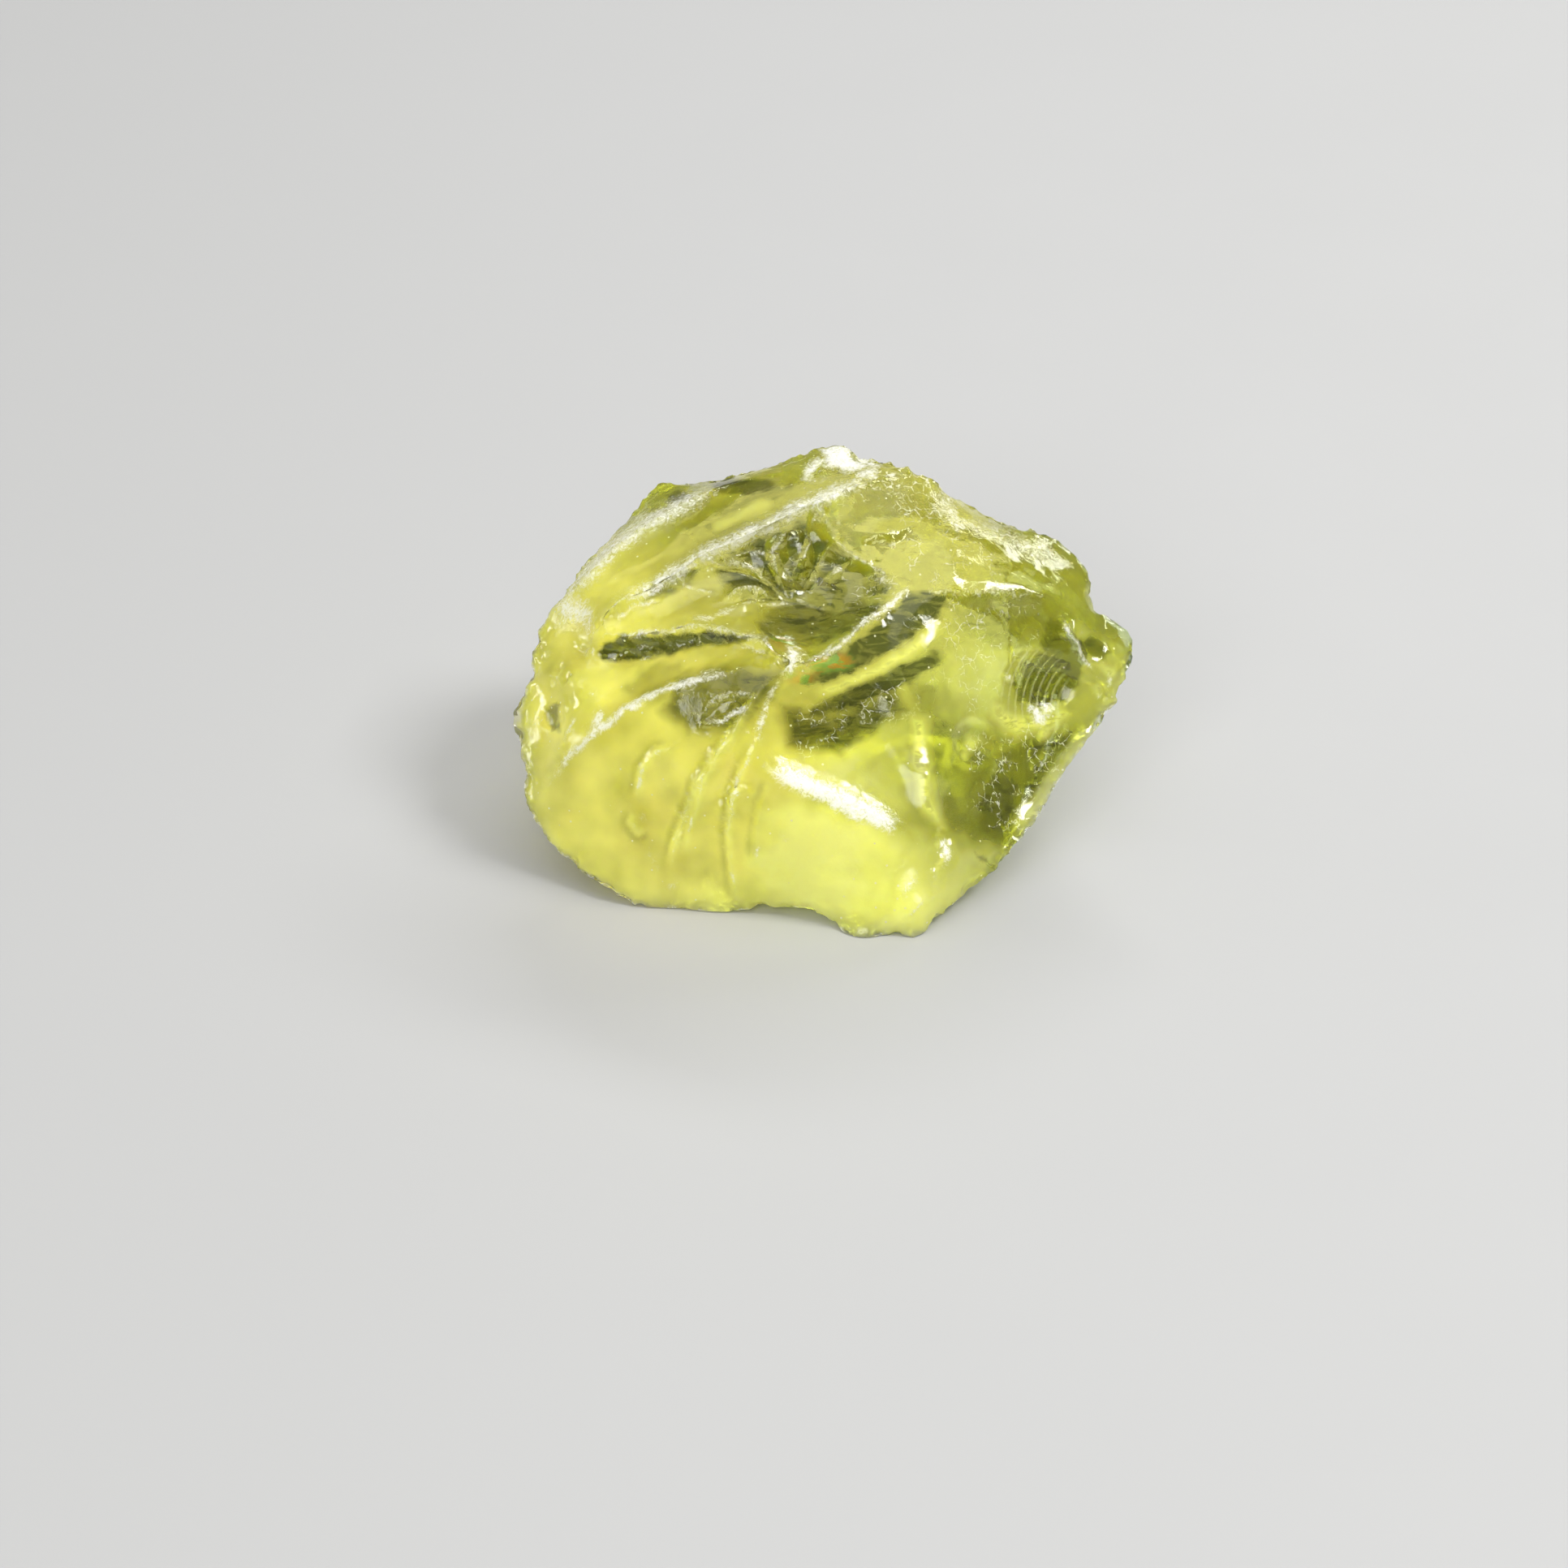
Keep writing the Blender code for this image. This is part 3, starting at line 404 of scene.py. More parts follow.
def spot_gap(flat, across, up):
    """The distance of each flat point to a spot."""
    return np.hypot(*(flat - np.array((across, up))).T)


def patch_mask(flat, outline, feather):
    """1 inside the outline, 0 outside, with a soft edge feather wide."""
    corners = np.array(outline)
    crossings = np.zeros(len(flat), int)
    for a, b in zip(corners, np.roll(corners, -1, axis=0)):
        spans = (a[1] > flat[:, 1]) != (b[1] > flat[:, 1])
        meets = a[0] + (flat[:, 1] - a[1]) * (b[0] - a[0]) / (b[1] - a[1] + 1e-12)
        crossings += spans & (flat[:, 0] < meets)
    gap = line_field(flat, list(outline) + [outline[0]])[0]
    inward = np.where(crossings % 2 == 1, gap, -gap)
    return ramp(inward, -feather / 2, feather / 2)


class Surface:
    """The fine stone while it is shaped. Points are in millimetres."""

    def __init__(self, mesh):
        self.mesh = mesh
        self.points = np.empty(len(mesh.vertices) * 3)
        mesh.vertices.foreach_get("co", self.points)
        self.points = self.points.reshape(-1, 3) / MM
        self.base = self.points[:, 2] < UNDERSIDE
        self.look()

    def look(self):
        """Brings the normals and what the eye sees up to date."""
        self.mesh.vertices.foreach_set("co", (self.points * MM).ravel())
        self.mesh.update()
        normals = np.empty(len(self.points) * 3)
        self.mesh.vertex_normals.foreach_get("vector", normals)
        self.normals = normals.reshape(-1, 3)
        self.seen = seen(self.points)
        eye = in_frame(0.0, 0.0, EYE_DISTANCE)
        way = eye - self.points
        way /= np.linalg.norm(way, axis=1)[:, None]
        self.facing = (self.normals * way).sum(axis=1)
        self.front = ramp(self.facing, -0.02, 0.08)

    def raise_by(self, height):
        """Moves each point out by its height along its normal. The flat underside stays."""
        height = np.where(self.base, 0.0, height)
        self.points = self.points + self.normals * height[:, None]
        self.points[:, 2] = np.maximum(self.points[:, 2], 0.0)
        self.look()

    def mark(self, name, values):
        """Stores a share for each point, for the material to read."""
        layer = self.mesh.attributes.new(name, "FLOAT", "POINT")
        layer.data.foreach_set("value", np.clip(values, 0.0, 1.0).astype(np.float32))


def is_rounded(edge):
    """Whether an edge of the solid is on a worn, rounded ridge of the front."""
    a, b = edge.verts
    if (a.normal + b.normal).dot(TO_EYE) <= 0:
        return False
    flat = seen(np.array([(a.co + b.co) / 2 / MM]))[:, :2]
    return min(line_field(flat, ridge)[0][0] for ridge in ROUNDED_RIDGES) < RIDGE_REACH


def rim_samples(mesh):
    """Points along the stone's sharp edges, in millimetres, spaced closely, as a search tree."""
    samples = []
    bm = bmesh.new()
    bm.from_mesh(mesh)
    bmesh.ops.remove_doubles(bm, verts=bm.verts, dist=WELD)
    for edge in bm.edges:
        if edge.calc_face_angle(0.0) < RIM_SHARPER_THAN or is_rounded(edge):
            continue
        a, b = (v.co / MM for v in edge.verts)
        if max(a.z, b.z) < UNDERSIDE:
            continue
        steps = max(1, math.ceil((b - a).length / RIM_SPACING))
        samples += [a.lerp(b, k / steps) for k in range(steps + 1)]
    bm.free()
    tree = kdtree.KDTree(len(samples))
    for i, p in enumerate(samples):
        tree.insert(p, i)
    tree.balance()
    return tree


def divide_again(mesh):
    """Halves the edges once more where the finest relief is: in the hollow and along its rims."""
    bm = bmesh.new()
    bm.from_mesh(mesh)
    points = np.array([v.co for v in bm.verts]) / MM
    towards = np.array([v.normal for v in bm.verts]) @ np.array(TO_EYE)
    flat = seen(points)[:, :2]
    fine = patch_mask(flat, HOLLOW, 0.1) > 0.5
    for line in [LONG_RIDGE, LEDGE_RIM, V_RIM] + [hackle[3] for hackle in HACKLES]:
        fine |= line_field(flat, line)[0] < FINE_BAND
    fine &= towards > 0
    edges = [e for e in bm.edges if fine[e.verts[0].index] and fine[e.verts[1].index]]
    bmesh.ops.subdivide_edges(bm, edges=edges, cuts=1, use_grid_fill=True)
    bmesh.ops.triangulate(bm, faces=[f for f in bm.faces if len(f.verts) > 4])
    bm.to_mesh(mesh)
    bm.free()


def finely_divided(source, levels):
    """A fine copy of the stone: smooth between its ridges, sharp or a little rounded on them."""
    bm = bmesh.new()
    bm.from_mesh(source)
    bmesh.ops.remove_doubles(bm, verts=bm.verts, dist=WELD)
    crease = bm.edges.layers.float.new("crease_edge")
    for edge in bm.edges:
        if edge.calc_face_angle(0.0) > CREASE_SHARPER_THAN and not is_rounded(edge):
            edge[crease] = 1.0
    coarse = bpy.data.meshes.new("coarse_stone")
    bm.to_mesh(coarse)
    bm.free()
    for layer in [a for a in coarse.attributes if a.name == "custom_normal"]:
        coarse.attributes.remove(layer)
    coarse.materials.clear()
    carrier = bpy.data.objects.new("coarse_stone", coarse)
    bpy.context.scene.collection.objects.link(carrier)
    divider = carrier.modifiers.new("finer", "SUBSURF")
    divider.levels = levels
    divider.render_levels = levels
    fine = bpy.data.meshes.new_from_object(
        carrier.evaluated_get(bpy.context.evaluated_depsgraph_get())
    )
    bpy.data.objects.remove(carrier)
    bpy.data.meshes.remove(coarse)
    divide_again(fine)
    return fine


def soften(surface, ridges, width, rounds):
    """Wears ridges of the front away, a little more in each round."""
    edges = np.empty(len(surface.mesh.edges) * 2, np.int32)
    surface.mesh.edges.foreach_get("vertices", edges)
    a, b = edges.reshape(-1, 2).T
    gap = np.min([line_field(surface.seen[:, :2], ridge)[0] for ridge in ridges], axis=0)
    share = (ramp(gap, width, width * 0.3) * surface.front)[:, None]
    moving = share[:, 0] > 0
    near = moving[a] | moving[b]
    ends = np.concatenate((a[near], b[near]))
    others = np.concatenate((b[near], a[near]))
    size = len(surface.points)
    count = np.maximum(np.bincount(ends, minlength=size), 1)[:, None]
    for _ in range(rounds):
        total = np.stack([np.bincount(ends, c[others], size) for c in surface.points.T], axis=1)
        surface.points += share * (total / count - surface.points)
    surface.look()


def add_waves(surface):
    """The slow unevenness of the break, and a finer one. The main face at the lower left is calm."""
    p = surface.points
    lower_left = ramp(surface.seen[:, 0] + 0.9 * surface.seen[:, 1], 8.0, -4.0)
    rough = 1.0 - 0.5 * surface.front * lower_left
    surface.raise_by(
        rough * (0.10 * waves(p, 3.4) + 0.04 * waves(p, 1.5, 5.0) + 0.010 * waves(p, 0.6, 9.0))
    )


def add_ripples(surface):
    """Rings around the start of each break, as in a shell."""
    total = np.zeros(len(surface.points))
    for start, way, length, height, reach in RIPPLES:
        away = surface.points - np.array(start)
        distance = np.linalg.norm(away, axis=1)
        way = np.array(way) / np.linalg.norm(way)
        on_face = ramp(surface.normals @ way, 0.35, 0.75)
        bent = distance + 0.8 * waves(surface.points, 5.0, start[0])
        ring = 1 - np.abs(np.sin(np.pi * bent / length)) ** 0.7
        fade = ramp(distance, reach, reach * 0.4) * ramp(distance, 0.0, 2.0)
        total += height * ring * fade * on_face
    surface.raise_by(total)


def add_hackles(surface):
    """Steps that run down the main face."""
    flat = surface.seen[:, :2] + 0.15 * wobble(surface.points, 1.4, 3.0)
    total = np.zeros(len(flat))
    for height, steep, slow, line in HACKLES:
        gap, side, along = line_field(flat, line)
        width = np.where(side > 0, slow, steep)
        swell = np.sin(np.pi * np.clip(along, 0.03, 0.97))
        total += height * np.exp(-((gap / width) ** 1.3)) * swell
    surface.raise_by(total * surface.front)


def add_blades(surface):
    """Blades that fan out in the deep hollow, in two rows. Gives the painted shade of their sides and
    the painted highlights of their crests.
    """
    flat = surface.seen[:, :2]
    inside = patch_mask(flat, HOLLOW, 0.8) * surface.front
    away = flat - np.array(BLADE_ROOT)
    reach = np.hypot(*away.T)
    around = np.arctan2(away[:, 1], away[:, 0]) / (2 * math.pi)
    sine, cosine = np.sin(around * 2 * math.pi), np.cos(around * 2 * math.pi)
    upward = ramp(sine, -0.25, 0.15)
    total = np.zeros(len(flat))
    painted_dark = np.zeros(len(flat))
    crest_highlight = np.zeros(len(flat))
    for count, first, full, last, gone, height, seed in BLADE_ROWS:
        uneven = np.stack((cosine, sine, 0.06 * reach), axis=1)
        turn = around * count + 1.1 * waves(uneven, 0.7, seed)
        turn = turn + 0.12 * waves(surface.points, 3.5, seed)
        saw = turn - np.floor(turn)
        blade = np.where(saw < 0.85, saw / 0.85, (1 - saw) / 0.15)
        own = 0.6 + 0.4 * np.sin(np.floor(turn) * 2.4 + seed)
        shorter = own * 1.6
        fan = ramp(reach, first, full) * ramp(reach, gone - shorter, last - shorter) * upward
        total += height * blade * own * fan
        # Painted shade: each blade darker on one side and lighter on the other
        painted_dark += fan * (0.5 - saw) * 0.8
        # A painted highlight along each crest, put in as frost
        crest_highlight = np.maximum(crest_highlight, fan * np.exp(-(((saw - 0.85) / 0.07) ** 2)))
    surface.raise_by(inside * total)
    return inside * painted_dark, inside * crest_highlight


def add_bowls(surface):
    """Shallow bowls in the front."""
    total = np.zeros(len(surface.points))
    for across, up, radius, depth in BOWLS:
        share = spot_gap(surface.seen[:, :2], across, up) / radius
        lip = 0.3 * depth * np.exp(-((share - 1) / 0.2) ** 2)
        total -= depth * np.clip(1 - share**2, 0.0, 1.0) - lip
    surface.raise_by(total * surface.front)


def add_leaf_chip(surface):
    """A leaf-shaped scar on the main face, with a raised lower rim."""
    flat = surface.seen[:, :2] - np.array((-7.2, -1.5))
    axis = np.array((0.88, 0.47))
    along = flat @ axis / 2.3
    across = flat @ np.array((-axis[1], axis[0]))
    half_width = 0.95 * np.clip(1 - along**2, 0.0, 1.0)
    within = ramp(half_width - np.abs(across), -0.08, 0.25) * (np.abs(along) < 1)
    rim = np.exp(-((np.abs(across + half_width * 0.8) / 0.2) ** 2)) * (np.abs(along) < 1)
    surface.raise_by((0.16 * rim - 0.30 * within) * surface.front)


def add_chips(surface, rims):
    """Bites along the sharp edges, shallower in the hollow. Gives each point's gap to the edges."""
    near = np.array([rims.find(Vector(p))[2] for p in surface.points])
    calm = 1 - 0.85 * patch_mask(surface.seen[:, :2], HOLLOW, 1.0) * surface.front
    edge = ramp(near, 1.5, 0.1)
    fine_edge = ramp(near, 0.7, 0.05)
    patchy = ramp(waves(surface.points, 4.0, 11.0), -0.35, 0.25)
    bites = scallops(surface.points, 1.25)
    small = scallops(surface.points, 0.6)
    surface.raise_by(-calm * (0.34 * bites * edge * patchy + 0.14 * small * fine_edge))
    return near


def frost_and_highlight_of(surface, near):
    """How frosted each point is: worn rims, crushed spots and scratched ridges, some of them painted
    highlights.
    """
    flat = surface.seen[:, :2] + 0.25 * wobble(surface.points, 1.1, 21.0)
    frost_and_highlight = 0.65 * ramp(near, 0.5, 0.0) * ramp(waves(surface.points, 1.7, 31.0), -0.4, 0.5)
    for line, width, strength in FROSTED_AND_HIGHLIT_LINES:
        gap, _, along = line_field(flat, line)
        ends = whole_but_for_ends(along, 0.25)
        frost_and_highlight = np.maximum(frost_and_highlight, strength * ends * ramp(gap, width, 0.0) * surface.front)
    broken = ramp(waves(surface.points, 1.8, 91.0), -0.3, 0.3)
    for _, _, _, line in HACKLES:
        gap, _, along = line_field(flat, line)
        ends = whole_but_for_ends(along, 0.2)
        frost_and_highlight = np.maximum(frost_and_highlight, 0.65 * broken * ends * ramp(gap, 0.35, 0.0) * surface.front)
    wide = surface.seen[:, :2] + 1.6 * wobble(surface.points, 2.6, 23.0)
    for across, up, radius, strength in FROSTED_AND_HIGHLIT_SPOTS:
        gap = spot_gap(wide, across, up)
        frost_and_highlight = np.maximum(frost_and_highlight, strength * ramp(gap, radius, 0.0) * surface.front)
    return frost_and_highlight


def painted_reflection_and_shade_of(surface):
    """How dark each point is painted: reflections of the stone's dark side, and shade by the hackles.
    """
    flat = surface.seen[:, :2] + 0.3 * wobble(surface.points, 0.9, 41.0)
    painted_dark = np.zeros(len(flat))
    for strength, feather, outline in PAINTED_DARK_REFLECTIONS:
        painted_dark = np.maximum(painted_dark, strength * patch_mask(flat, outline, feather))
    # Painted shade on the steep side of each hackle step
    for _, _, _, line in HACKLES:
        gap, side, along = line_field(surface.seen[:, :2], line)
        ends = whole_but_for_ends(along, 0.2) * (side < 0)
        painted_dark = np.maximum(painted_dark, 0.35 * ends * ramp(np.abs(gap - 0.5), 0.5, 0.0))
    return painted_dark * surface.front


def lime_of(surface, painted_reflection_and_shade):
    """How much light gathers at each point of the front."""
    shift = wobble(surface.points, 1.3, 71.0)
    flat = surface.seen[:, :2] + 0.7 * shift
    nearly = surface.seen[:, :2] + 0.2 * shift
    lime = np.zeros(len(flat))
    for strength, feather, outline in LIME_PATCHES:
        bent = flat if feather > 1.5 else nearly
        lime = np.maximum(lime, strength * patch_mask(bent, outline, feather))
    lime *= 1 - painted_reflection_and_shade
    for strength, width, line in LIME_LINES:
        gap, _, along = line_field(nearly, line)
        ends = whole_but_for_ends(along, 0.15)
        lime = np.maximum(lime, strength * ends * ramp(gap, width * 1.9, 0.0))
    for _, _, _, line in HACKLES:
        gap, _, along = line_field(surface.seen[:, :2], line)
        ends = whole_but_for_ends(along, 0.2)
        lime = np.maximum(lime, 0.3 * ends * ramp(gap, 0.5, 0.0))
    for across, up, radius in LIME_SPOTS:
        gap = spot_gap(flat, across, up)
        lime = np.maximum(lime, 0.8 * ramp(gap, radius * 1.5, 0.0))
    return lime * surface.front


def green_of(surface):
    """How green the clear quartz is at each point: more towards the lower right."""
    lower_right = surface.seen[:, 0] - 0.9 * surface.seen[:, 1]
    return ramp(lower_right + 3.0 * waves(surface.points, 4.0, 81.0), 0.0, 14.0)


def milk_of(surface, painted_reflection_and_shade, lime):
    """How milky each point is: the lower left of the front, and where the light gathers."""
    flat = surface.seen[:, :2]
    low_left = ramp(flat[:, 0] + 0.9 * flat[:, 1], 2.0, -12.0)
    cloud = 0.9 + 0.4 * waves(surface.points, 3.0, 51.0) + 0.15 * waves(surface.points, 1.2, 52.0)
    milk = (0.12 + 0.60 * low_left) * cloud + 0.42 * lime + 0.3 * ramp(lime, 0.6, 1.0)
    return np.clip(milk, 0.0, 0.85) * (1 - 0.97 * painted_reflection_and_shade) * (0.4 + 0.6 * surface.front)


def crackle_of(surface):
    """Where small crescents cover the surface."""
    flat = surface.seen[:, :2] + 0.8 * wobble(surface.points, 1.6, 61.0)
    masks = [patch_mask(flat, outline, 1.6) for outline in CRACKLED]
    gaps = ramp(waves(surface.points, 1.3, 63.0), -0.2, 0.3)
    return np.maximum.reduce(masks) * gaps * surface.front


def fire_of(surface):
    """Where the light is split into colours."""
    flat = surface.seen[:, :2] * np.array((0.6, 1.0))
    spots = np.array(FIRE) * np.array((0.6, 1.0))
    gap = np.min([np.hypot(*(flat - spot).T) for spot in spots], axis=0)
    return ramp(gap, 0.9, 0.2) * surface.front


class Wire:
    """A node's output. Sums of wires and numbers add their Math nodes."""

    def __init__(self, material, socket):
        self.material = material
        self.socket = socket

    def math(self, operation, *values):
        return self.material.node("ShaderNodeMath", {"operation": operation}, dict(enumerate(values)))

    def __add__(self, other):
        return self.math("ADD", self, other)

    def __sub__(self, other):
        return self.math("SUBTRACT", self, other)

    def __rsub__(self, other):
        return self.math("SUBTRACT", other, self)

    def __mul__(self, other):
        return self.math("MULTIPLY", self, other)

    __radd__ = __add__
    __rmul__ = __mul__

    def sine(self):
        return self.math("SINE", self)

    def between(self, low, high):
        """0 below low, 1 above high and a smooth rise between them."""
        settings = {"interpolation_type": "SMOOTHSTEP"}
        return self.material.node("ShaderNodeMapRange", settings, {0: self, 1: low, 2: high})


class Finish:
    """A material and the nodes that it is built from."""

    def __init__(self, name):
        self.material = bpy.data.materials.new(name)
        self.material.use_nodes = True
        self.tree = self.material.node_tree
        self.tree.nodes.clear()

    def node(self, kind, settings=None, inputs=None, output=0):
        """Adds a node, sets it up, feeds its sockets and gives the wire from one of its outputs."""
        made = self.tree.nodes.new(kind)
        for key, value in (settings or {}).items():
            setattr(made, key, value)
        for key, value in (inputs or {}).items():
            if isinstance(value, Wire):
                self.tree.links.new(value.socket, made.inputs[key])
            else:
                made.inputs[key].default_value = value
        return Wire(self, made.outputs[output])

    def shown(self, inputs):
        """Connects the material's output and gives the material."""
        end = self.tree.nodes.new("ShaderNodeOutputMaterial")
        for key, wire in inputs.items():
            self.tree.links.new(wire.socket, end.inputs[key])
        return self.material

    def blend(self, share, first, second):
        """A colour between two colours."""
        return self.node("ShaderNodeMix", {"data_type": "RGBA"}, {0: share, 6: first, 7: second}, 2)

    def scaled(self, vector, scale):
        """A vector times a number."""
        settings = {"operation": "SCALE"}
        return self.node("ShaderNodeVectorMath", settings, {0: vector, "Scale": scale})

    def place(self, scale):
        """The place on the piece, times scale."""
        return self.scaled(self.node("ShaderNodeTexCoord", output="Object"), scale)

    def share(self, name):
        """A share that is stored on the mesh."""
        return self.node("ShaderNodeAttribute", {"attribute_name": name}, output="Fac")

    def grain(self, place, scale, detail=3.0, roughness=0.5, stretch=0.0):
        """Cloudy noise from 0 to 1."""
        return self.node("ShaderNodeTexNoise", None, {
            "Vector": place, "Scale": scale, "Detail": detail, "Roughness": roughness,
            "Distortion": stretch,
        })

    def warp(self, place, scale, amount):
        """A small shift of place that differs from spot to spot."""
        noisy = self.node("ShaderNodeTexNoise", None, {"Vector": place, "Scale": scale}, 1)
        return self.scaled(noisy, amount)

    def cracks(self, place, scale):
        """The distance to the nearest border of a net of cells."""
        return self.node(
            "ShaderNodeTexVoronoi", {"feature": "DISTANCE_TO_EDGE"}, {"Vector": place, "Scale": scale}
        )


def quartz_finish(look):
    """Clear yellow-green quartz: glossy breaks, milky depths, painted dark reflections and shade, and
    frosted rims that carry painted highlights.
    """
    f = Finish("prasiolite")
    place = f.place(1 / MM)
    frost_and_highlight = f.share("frost_and_highlight")
    painted_reflection_and_shade = f.share("painted_reflection_and_shade")
    lime = f.share("lime")
    crackle = f.share("crackle")
    lined = f.share("lined")

    # Relief finer than the mesh, and the small crescents and fine lines on the breaks
    scratch = f.grain(place, 2.2, 3.0, 0.7, 1.2)
    grit = f.grain(place, 3.0, 2.0, 0.65)
    shift = f.warp(place, 1.6, 0.7)
    bent = f.node("ShaderNodeVectorMath", {"operation": "ADD"}, {0: place, 1: shift})
    crescents = (1 - f.cracks(bent, 1.3).between(0.01, 0.07)) * scratch.between(0.35, 0.6) * crackle
    lines = (f.share("rings") * (RINGS_REACH * LINE_TURN) + scratch * 3.0).sine()
    lines = lines.between(0.3, 1.0) * lined
    relief = grit * frost_and_highlight * 1.2 + scratch * (0.12 + frost_and_highlight * 0.4)
    bump = f.node("ShaderNodeBump", None, {"Strength": 0.6, "Distance": 0.00015, "Height": relief})
    rough = 0.03 + frost_and_highlight * 0.20 + scratch.between(0.55, 0.75) * 0.04

    # Crust on the rims, partly a painted highlight, and specks of dust
    crust_and_highlight = (frost_and_highlight + scratch * 1.3 - 0.75).between(0.1, 1.0)
    cell = {"Vector": place, "Scale": 1.3}
    near_speck = f.node("ShaderNodeTexVoronoi", None, cell)
    cell_tint = f.node("ShaderNodeTexVoronoi", None, cell, 1)
    which = f.node("ShaderNodeSeparateColor", None, {0: cell_tint})
    dust = near_speck.between(0.14, 0.08) * which.between(0.66, 0.70)

    # Colours of the clear quartz, its painted dark reflections and shade, and its glints
    cloud = f.grain(place, 0.35, 3.0, 0.55)
    green = f.share("green")
    base = f.blend(green + cloud * 0.3 - 0.15, (*look.clear_tint, 1.0), (*look.lime_tint, 1.0))
    tilted = {"Rotation": (0.0, 0.35, 0.0), "Scale": (0.35, 1.0, 1.6)}
    streaks = f.grain(f.node("ShaderNodeMapping", None, {0: place, **tilted}), 0.9, 3.0, 0.65, 1.0)
    # Painted darkness: dark reflections and shade where marked, and darker streaks throughout
    painted_dark = painted_reflection_and_shade * (0.60 + streaks * 0.7) - lines * 0.45
    painted_dark += streaks.between(0.48, 0.72) * 0.35
    base = f.blend(painted_dark, base, (*look.painted_dark_tint, 1.0))
    flame = f.blend(streaks.between(0.45, 0.55), ORANGE_GLINT, GREEN_GLINT)
    base = f.blend(f.share("fire") * 0.8, base, flame)

    # Colours of the milky depths and of the crust, whose white also paints highlights
    milk = f.blend(lime + green * 0.4, (*look.milk_tint, 1.0), (*look.bright_tint, 1.0))
    milk = f.blend(cloud.between(0.45, 0.75) * 0.42, milk, (*look.milk_shade, 1.0))
    thick = (scratch + frost_and_highlight * 0.4 + crescents * 0.4 - 0.26).between(0.35, 0.6)
    white = f.blend(thick, (*look.crust_shade, 1.0), (*look.frost_and_highlight_tint, 1.0))

    clear = f.node("ShaderNodeBsdfPrincipled", None, {
        "Base Color": base, "Roughness": rough, "Normal": bump, "IOR": look.bending,
        "Transmission Weight": 1.0,
    })
    cloudy = f.node("ShaderNodeBsdfPrincipled", None, {
        "Base Color": milk, "Roughness": rough + 0.03, "Normal": bump,
        "IOR": look.bending, "Subsurface Weight": 1.0, "Subsurface Radius": (1.0, 0.95, 0.3),
        "Subsurface Scale": look.milk_depth,
    })
    # Frost, in places a painted highlight: white and rough
    frosted_and_highlit = f.node("ShaderNodeBsdfPrincipled", None, {
        "Base Color": white, "Roughness": 0.18 + grit * 0.25, "Normal": bump,
        "IOR": look.bending, "Transmission Weight": 0.15,
    })
    milky = f.share("milk") - streaks.between(0.42, 0.62) * lime.between(0.66, 0.85) * 0.32
    body = f.node("ShaderNodeMixShader", None, {0: milky, 1: clear, 2: cloudy})
    covered = crust_and_highlight * 0.85 + dust * 0.8 + crescents * 0.45 + lines * 0.2
    skin = f.node("ShaderNodeMixShader", None, {0: covered, 1: body, 2: frosted_and_highlit})
    inside = f.node("ShaderNodeVolumeAbsorption", None, {
        "Color": (*look.depth_tint, 1.0), "Density": look.depth,
    })
    return f.shown({"Surface": skin, "Volume": inside})


def floor_finish(look):
    """Smooth pale card."""
    f = Finish("pale_card")
    place = f.place(1.0)
    duller = tuple(c * 0.97 for c in look.floor_tint)
    tone = f.blend(f.grain(place, 9.0), (*look.floor_tint, 1.0), (*duller, 1.0))
    card = f.node("ShaderNodeBsdfPrincipled", None, {
        "Base Color": tone, "Roughness": 0.55 + f.grain(place, 60.0) * 0.1,
    })
    return f.shown({"Surface": card})


class PrasioliteLook(bpy.types.PropertyGroup):
    """The sizes and colours of the stone that a user would change."""

    levels: IntProperty(
        name="Fineness", description="How many times the stone's surface is divided", default=2,
        min=1, max=2,
    )
    bending: FloatProperty(name="IOR", description="How strongly quartz bends light", default=1.544)
    clear_tint: FloatVectorProperty(
        name="Clear tint", description="Tint of the clear breaks", subtype="COLOR",
        default=(1.0, 0.96, 0.55),
    )
    lime_tint: FloatVectorProperty(
        name="Lime tint", description="Tint of the greener places", subtype="COLOR",
        default=(0.86, 1.0, 0.58),
    )
    # Colour of the painted dark reflections and shade
    painted_dark_tint: FloatVectorProperty(
        name="Window tint", description="Tint of the dark windows", subtype="COLOR",
        default=(0.045, 0.056, 0.028),
    )
    milk_tint: FloatVectorProperty(
        name="Milk tint", description="Colour of the cloudy depths", subtype="COLOR",
        default=(1.0, 0.87, 0.18),
    )
    bright_tint: FloatVectorProperty(
        name="Bright tint", description="Colour where the light gathers", subtype="COLOR",
        default=(0.92, 1.0, 0.24),
    )
    milk_shade: FloatVectorProperty(
        name="Milk shade", description="Deeper colour between the clouds", subtype="COLOR",
        default=(0.86, 0.77, 0.13),
    )
    milk_depth: FloatProperty(
        name="Milk depth", description="How far light spreads in the cloudy depths", default=0.004,
        unit="LENGTH", precision=4,
    )
    # White of the frost, which also paints highlights
    frost_and_highlight_tint: FloatVectorProperty(
        name="Frost tint", description="Colour of the frosted rims", subtype="COLOR",
        default=(1.0, 1.0, 0.94),
    )
    crust_shade: FloatVectorProperty(
        name="Crust shade", description="Colour between the frosted grains", subtype="COLOR",
        default=(0.70, 0.69, 0.44),
    )
    depth_tint: FloatVectorProperty(
        name="Depth tint", description="Colour that light takes on inside", subtype="COLOR",
        default=(0.94, 0.955, 0.10),
    )
    depth: FloatProperty(
        name="Depth", description="How strongly light is coloured inside, per metre", default=65.0,
    )


class StageLook(bpy.types.PropertyGroup):
    """The sizes and colours of the stage that a user would change."""

    floor_tint: FloatVectorProperty(
        name="Floor", description="Colour of the floor", subtype="COLOR",
        default=(0.455, 0.455, 0.449),
    )
    floor_side: FloatProperty(
        name="Floor side", description="Length of the floor's side", default=4.0, unit="LENGTH",
    )
    light: FloatProperty(name="Light", description="Strength of the soft boxes", default=1.1)
    sky: FloatProperty(name="Sky", description="Strength of the light from all around", default=0.15)


